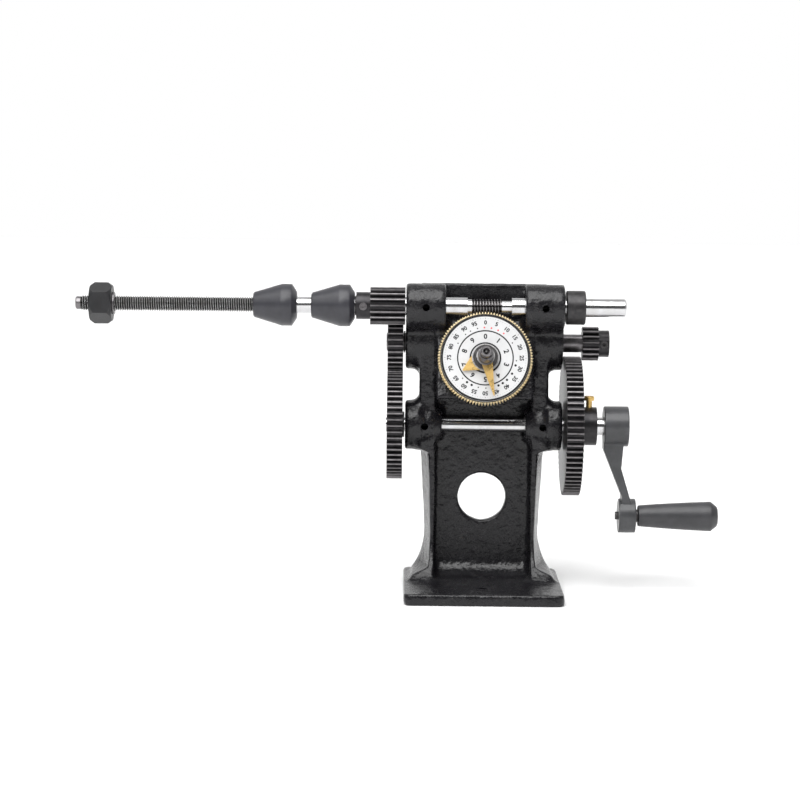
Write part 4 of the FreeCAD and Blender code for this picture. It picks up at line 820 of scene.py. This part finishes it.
def grip_piece():
    """Grip as a smooth turned form inside the CAD outline."""
    low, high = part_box("grip")
    start, end = low.x / MM, high.x / MM
    neck, nose = start + 0.9, end - GRIP_NOSE
    profile = [(start, GRIP_BORE), (start, GRIP_INNER - 0.9), (start + 0.25, GRIP_INNER - 0.25),
               (neck, GRIP_INNER)]
    for index in range(1, GRIP_STEPS + 1):
        share = index / GRIP_STEPS
        bulge = min(1, share + GRIP_BULGE * math.sin(math.pi * share))
        along = neck + (end - start - 6.4) * share
        profile.append((along, GRIP_INNER + (GRIP_OUTER - GRIP_INNER) * bulge))
    profile += [(nose, GRIP_OUTER - 0.05), (nose + 0.6, GRIP_OUTER - 0.3), (end - 1.3, 7.3),
                (end - 0.5, 6.6), (end - 0.1, 5.8), (end, 0)]
    mesh = lathe("grip_turned", profile, Vector((0, GRIP_AXIS.y, GRIP_AXIS.z)), ALONG_X)
    smooth_by_angle(mesh, 40)
    return new_piece("grip_turned", mesh, GRIP, "grip_body", ["grip"])


def soft_cast(node, material, voxel, passes):
    """A CAD node with the rounded corners of a small casting."""
    mesh = with_modifiers(cad_mesh(node), [
        ("REMESH", dict(mode="VOXEL", voxel_size=voxel * MM, use_smooth_shade=True)),
        ("SMOOTH", dict(factor=0.5, iterations=passes)),
    ])
    smooth_by_angle(mesh, 50)
    return new_piece(node + "_piece", mesh, material, BODY_OF[node], [node])


# ---------------------------------------------------------------- dial print

def dial_point(across, up, out):
    """Point on the dial from millimetres right of, above and out from its centre."""
    return DIAL_CENTRE + (DIAL_RIGHT * across + DIAL_UP * up + DIAL_NORMAL * out) * MM


def front_of(node):
    """Distance of a node's front from the dial's centre along the dial's axis, in millimetres."""
    return max((vertex.co - DIAL_CENTRE).dot(DIAL_NORMAL) for vertex in NODES[node].data.vertices) / MM


# Radii and heights in millimetres, angles in degrees from the dial's right, boldness as a share of the
# numbers' height.
PRINT_THICKNESS = 0.03
BOLDNESS = 0.035
OUTER_RING = (27.7, 29.05)
INNER_RING = (17.7, 18.55)
OUTER_NUMBERS = dict(radius=23.6, height=3.7)
INNER_NUMBERS = dict(radius=14.2, height=4.6)
MARK_CIRCLE = 26.2
LONG_MARK = 0.6
MARK_DOT = 0.15
DOT_CIRCLE = 20.3
DOT_SIDES = 14
LARGE_DOT = 0.8
LARGE_DOTS = (-14, -31, -46, -56, -65, -116, -126)
SMALL_DOT = 0.45
SMALL_DOTS = (-137, -103, -89, 30, -5, 152, 130, 119, 105)
RED_DOT = 0.6
RED_DOTS = (92, 79, 66, 54)
HUB_RADIUS = 10.32
HUB_BAND = 9.3
HUB_BORE = 8.2


def printed_circle(bm, across, up, radius, out, segments):
    """Points of a circle about a place on the dial."""
    return [
        bm.verts.new(dial_point(across + radius * math.cos(turn), up + radius * math.sin(turn), out))
        for turn in turns(segments)
    ]


def flat_ring(bm, inner, outer, out, segments=160):
    """Thin printed ring."""
    top = out + PRINT_THICKNESS
    edges = ((inner, out), (inner, top), (outer, top), (outer, out))
    bridge(bm, [printed_circle(bm, 0, 0, radius, height, segments) for radius, height in edges])


def dot(bm, circle, angle, radius, out):
    """Small printed disc on a circle of the dial, at an angle in radians."""
    across, up = circle * math.cos(angle), circle * math.sin(angle)
    heights = (out, out + PRINT_THICKNESS)
    rings = [printed_circle(bm, across, up, radius, height, DOT_SIDES) for height in heights]
    bm.faces.new(rings[1])
    bridge(bm, rings)


def number_meshes(bm, labels, radius, height, out):
    """Numbers around the dial, upright along their radii, clockwise from the first at the top."""
    for index, label in enumerate(labels):
        turn = -2 * math.pi * index / len(labels)
        curve = bpy.data.curves.new("number", "FONT")
        curve.body = label
        curve.size = height * MM
        curve.align_x = "CENTER"
        curve.align_y = "CENTER"
        curve.extrude = PRINT_THICKNESS / 2 * MM
        curve.offset = BOLDNESS * height * MM
        curve.resolution_u = 3
        carrier = bpy.data.objects.new("number", curve)
        bpy.context.scene.collection.objects.link(carrier)
        graph = bpy.context.evaluated_depsgraph_get()
        graph.update()
        mesh = bpy.data.meshes.new_from_object(carrier.evaluated_get(graph))
        up = DIAL_UP * math.cos(turn) - DIAL_RIGHT * math.sin(turn)
        right = up.cross(DIAL_NORMAL)
        centre = dial_point(0, 0, out + PRINT_THICKNESS / 2) + up * radius * MM
        place = Matrix((
            (right.x, up.x, DIAL_NORMAL.x, centre.x),
            (right.y, up.y, DIAL_NORMAL.y, centre.y),
            (right.z, up.z, DIAL_NORMAL.z, centre.z),
            (0, 0, 0, 1)))
        mesh.transform(place)
        bm.from_mesh(mesh)
        bpy.data.objects.remove(carrier)


def dial_print():
    """Rings, scale marks, numbers and dots on the white plate."""
    out = front_of("dial_plate")
    black = bmesh.new()
    flat_ring(black, *OUTER_RING, out)
    flat_ring(black, *INNER_RING, out)
    number_meshes(black, [str(5 * count) for count in range(20)], out=out, **OUTER_NUMBERS)
    number_meshes(black, [str(count) for count in range(10)], out=out, **INNER_NUMBERS)
    for count in range(100):
        angle = math.pi / 2 - 2 * math.pi * count / 100
        for share in (0.0, 0.5, 1.0) if count % 5 == 0 else (0.5,):
            dot(black, MARK_CIRCLE + LONG_MARK * share, angle, MARK_DOT, out)
    for size, angles in ((LARGE_DOT, LARGE_DOTS), (SMALL_DOT, SMALL_DOTS)):
        for degrees in angles:
            dot(black, DOT_CIRCLE, math.radians(degrees), size, out)
    new_piece("dial_print_black", from_bmesh("dial_print_black", black), INK, "dial_set")
    red = bmesh.new()
    for degrees in RED_DOTS:
        dot(red, DOT_CIRCLE, math.radians(degrees), RED_DOT, out)
    new_piece("dial_print_red", from_bmesh("dial_print_red", red), RED_INK, "dial_set")


def turned_on_dial(name, profile, material, body, replaced=()):
    """Piece turned about the dial's axis. The profile is (distance out, radius) in millimetres."""
    mesh = lathe(name, profile, DIAL_CENTRE, DIAL_NORMAL)
    smooth_by_angle(mesh, SHARP_ANGLE)
    return new_piece(name, mesh, material, body, replaced)


def dial_hub():
    """Paint on the raised hub of the dial wheel: a black band around a white one."""
    front = front_of("dial_wheel")
    back = front_of("dial_plate")
    skin = front + PRINT_THICKNESS
    black = [
        (back, HUB_RADIUS), (skin - 0.08, HUB_RADIUS), (skin, HUB_RADIUS - 0.08), (skin, HUB_BAND),
        (front - 0.1, HUB_BAND), (back, HUB_RADIUS - 0.12), (back, HUB_RADIUS)]
    white = [
        (front - 0.1, HUB_BAND), (skin, HUB_BAND), (skin, HUB_BORE), (front - 0.1, HUB_BORE),
        (front - 0.1, HUB_BAND)]
    turned_on_dial("dial_hub_black", black, INK, "dial_set")
    turned_on_dial("dial_hub_white", white, WHITE, "dial_set")


POST_TIP_LENGTH = 6
POST_RADIUS = 3.6
CENTRE_HOLE_RADIUS = 2.1
CENTRE_HOLE_DEPTH = 4
SCREW_END_RADIUS = 1.1


def sleeve_and_post():
    """The rear counter wheel with its dark steel sleeve, and the post with a screw's end in its hole."""
    split = front_of("dial_wheel") + 0.1
    plane = DIAL_CENTRE + DIAL_NORMAL * split * MM
    wheel = bevelled(half("hundreds_wheel", plane, -DIAL_NORMAL), FINE_EDGE)
    new_piece("hundreds_wheel_piece", wheel, TOOTHED_BRASS, "hundreds_set", ["hundreds_wheel"])
    sleeve = bevelled(half("hundreds_wheel", plane, DIAL_NORMAL), 0.25, 3)
    new_piece("sleeve_piece", sleeve, OXIDE, "hundreds_set", ["hundreds_wheel"])

    tip = front_of("counter_post")
    back = tip - POST_TIP_LENGTH
    plane = DIAL_CENTRE + DIAL_NORMAL * back * MM
    post = bevelled(half("counter_post", plane, -DIAL_NORMAL), EDGE)
    new_piece("counter_post_piece", post, STEEL, "frame", ["counter_post"])
    floor = tip - CENTRE_HOLE_DEPTH
    profile = [
        (back, 0), (back, POST_RADIUS), (tip - 0.5, POST_RADIUS), (tip, POST_RADIUS - 0.5),
        (tip, CENTRE_HOLE_RADIUS + 0.25), (tip - 0.25, CENTRE_HOLE_RADIUS), (floor, CENTRE_HOLE_RADIUS),
        (floor, 0)]
    turned_on_dial("counter_post_tip", profile, DULL, "frame", ["counter_post"])
    profile = [
        (floor - 0.2, 0), (floor - 0.2, SCREW_END_RADIUS), (tip - 2.4, SCREW_END_RADIUS),
        (tip - 1.9, SCREW_END_RADIUS - 0.4), (tip - 1.7, 0)]
    turned_on_dial("counter_post_screw", profile, OXIDE, "frame")


# ---------------------------------------------------------------- build

def build():
    """Makes every piece. Most are CAD nodes with broken edges, and the rest have functions above."""
    cast_frame()
    spindle_pieces()
    for node, axis_point in (("large_gear", CRANKSHAFT), ("slow_gear", CRANKSHAFT), ("lay_gear", LAYSHAFT),
                             ("lay_pinion", LAYSHAFT), ("spindle_pinion", SPINDLE)):
        edged(node, gear_steel(node, axis_point))
    edged("stop_collar", OXIDE, 0.3)
    cone_piece("left_cone")
    cone_piece("right_cone")
    edged("clamp_nut", NUT_PAINT, 0.5, 3)
    soft_cast("crank_arm", CRANK_PAINT, 0.45, 5)
    grip_piece()
    for node in ("shift_washer", "lay_pinion_screw", "stop_collar_screw", "crank_screw", "left_cone_screw",
                 "right_cone_screw", "friction_screw", "grip_pin", "grip_washer"):
        edged(node, OXIDE)
    edged("crankshaft", CRANKSHAFT_STEEL)
    for node in ("post_nut", "spring_washer", "lay_gear_key", "slow_gear_key"):
        edged(node, STEEL)
    for node in ("layshaft", "clamp_washer", "spindle_pinion_screw"):
        edged(node, DULL)
    edged("pointer_hub", DULL, 0.25, 3)
    edged("dial_wheel", TOOTHED_BRASS, FINE_EDGE)
    edged("short_pointer", SHORT_POINTER_BRASS, FINE_EDGE)
    edged("long_pointer", LONG_POINTER_BRASS, FINE_EDGE)
    edged("large_gear_screw", BRASS, FINE_EDGE)
    sleeve_and_post()
    edged("dial_plate", WHITE, THIN_EDGE)
    edged("friction_pad", NYLON, THIN_EDGE)
    dial_print()
    dial_hub()


# ---------------------------------------------------------------- camera, floor and light

# The camera looks down from the front and stands left of the frame, at the mandrel's middle. Its places are
# in millimetres, and its focal length and picture are in pixels of an 800-pixel picture.
CAMERA_PITCH = math.radians(7)
CAMERA_ROLL = math.radians(0.6)
CAMERA_DISTANCE = 1540.0
CAMERA_X = -55.2
SPINDLE_ABOVE_AXIS = 87.4
FOCAL_PIXELS = 2344.0
FRAME_PIXELS = 800.0
AXIS_BELOW_MIDDLE = 39.0
SENSOR = 36.0

FLOOR_HALF_WIDTH = 6.0
FLOOR_DROP = 0.02

# Strength of the surround in front and behind, and the Y of the directions between which it brightens.
SURROUND_FRONT = 0.07
SURROUND_BACK = 0.95
SURROUND_ENDS = (-0.6, 1.0)

OVERHEAD_POWER = 2.75
OVERHEAD_SPREAD = math.radians(50)
OVERHEAD_TURN = (math.radians(22), math.radians(-8), 0)

# Places, targets and sizes in metres, power in watts.
SOFT_BOXES = (
    dict(name="key", place=(-0.6, -1.2, 1.0), target=(0, 0, 0.1), size=(0.6, 0.45), power=6),
    dict(name="front", place=(0.1, -1.25, 1.45), target=(0, 0, 0.15), size=(1.3, 0.4), power=6),
)


def add_camera():
    forward = Vector((0, math.cos(CAMERA_PITCH), -math.sin(CAMERA_PITCH)))
    up = Vector((0, math.sin(CAMERA_PITCH), math.cos(CAMERA_PITCH)))
    target = Vector((CAMERA_X, SPINDLE.y / MM, SPINDLE.z / MM))
    place = (target - forward * CAMERA_DISTANCE - up * SPINDLE_ABOVE_AXIS) * MM
    data = bpy.data.cameras.new("camera")
    data.sensor_width = SENSOR
    data.lens = FOCAL_PIXELS / FRAME_PIXELS * SENSOR
    data.shift_y = AXIS_BELOW_MIDDLE / FRAME_PIXELS
    data.clip_start = 0.05
    camera = bpy.data.objects.new("camera", data)
    bpy.context.scene.collection.objects.link(camera)
    turn = Matrix.Rotation(math.pi / 2 - CAMERA_PITCH, 4, "X") @ Matrix.Rotation(CAMERA_ROLL, 4, "Z")
    camera.matrix_world = Matrix.Translation(place) @ turn
    bpy.context.scene.camera = camera


def add_floor():
    bm = bmesh.new()
    bmesh.ops.create_grid(bm, x_segments=2, y_segments=2, size=FLOOR_HALF_WIDTH)
    floor = bpy.data.objects.new("floor", from_bmesh("floor", bm))
    floor.location.z = -FLOOR_DROP * MM
    floor.data.materials.append(studio_paper())
    bpy.context.scene.collection.objects.link(floor)


def area_light(name, place, target, size, power):
    """Soft box that lights the scene without being seen by the camera."""
    data = bpy.data.lights.new(name, "AREA")
    data.shape = "RECTANGLE"
    data.size, data.size_y = size
    data.energy = power
    light = bpy.data.objects.new(name, data)
    bpy.context.scene.collection.objects.link(light)
    aim = (Vector(target) - Vector(place)).to_track_quat("-Z", "Y").to_matrix().to_4x4()
    light.matrix_world = Matrix.Translation(Vector(place)) @ aim
    light.visible_camera = False


def add_world():
    """Surround that is white to the camera. The machine sees it bright behind itself and dim in front."""
    world = bpy.data.worlds.new("studio")
    bpy.context.scene.world = world
    world.use_nodes = True
    tree = world.node_tree
    place = tree.nodes.new("ShaderNodeTexCoord")
    parts = tree.nodes.new("ShaderNodeSeparateXYZ")
    tree.links.new(place.outputs["Generated"], parts.inputs["Vector"])
    rise = tree.nodes.new("ShaderNodeMapRange")
    rise.inputs["From Min"].default_value = SURROUND_ENDS[0]
    rise.inputs["From Max"].default_value = SURROUND_ENDS[1]
    rise.inputs["To Min"].default_value = SURROUND_FRONT
    rise.inputs["To Max"].default_value = SURROUND_BACK
    tree.links.new(parts.outputs["Y"], rise.inputs["Value"])
    seen = tree.nodes.new("ShaderNodeMix")
    ray = tree.nodes.new("ShaderNodeLightPath")
    tree.links.new(ray.outputs["Is Camera Ray"], seen.inputs["Factor"])
    tree.links.new(rise.outputs["Result"], seen.inputs["A"])
    seen.inputs["B"].default_value = 1.0
    tree.links.new(seen.outputs["Result"], tree.nodes["Background"].inputs["Strength"])
    tree.nodes["Background"].inputs["Color"].default_value = (1.0, 1.0, 1.0, 1)


def add_light():
    """Wide soft light from above and two soft boxes in front."""
    data = bpy.data.lights.new("overhead", "SUN")
    data.energy = OVERHEAD_POWER
    data.angle = OVERHEAD_SPREAD
    overhead = bpy.data.objects.new("overhead", data)
    overhead.rotation_euler = OVERHEAD_TURN
    bpy.context.scene.collection.objects.link(overhead)
    for box in SOFT_BOXES:
        area_light(**box)


build()
add_floor()
add_world()
add_light()
add_camera()
bpy.context.scene.view_settings.view_transform = "Standard"
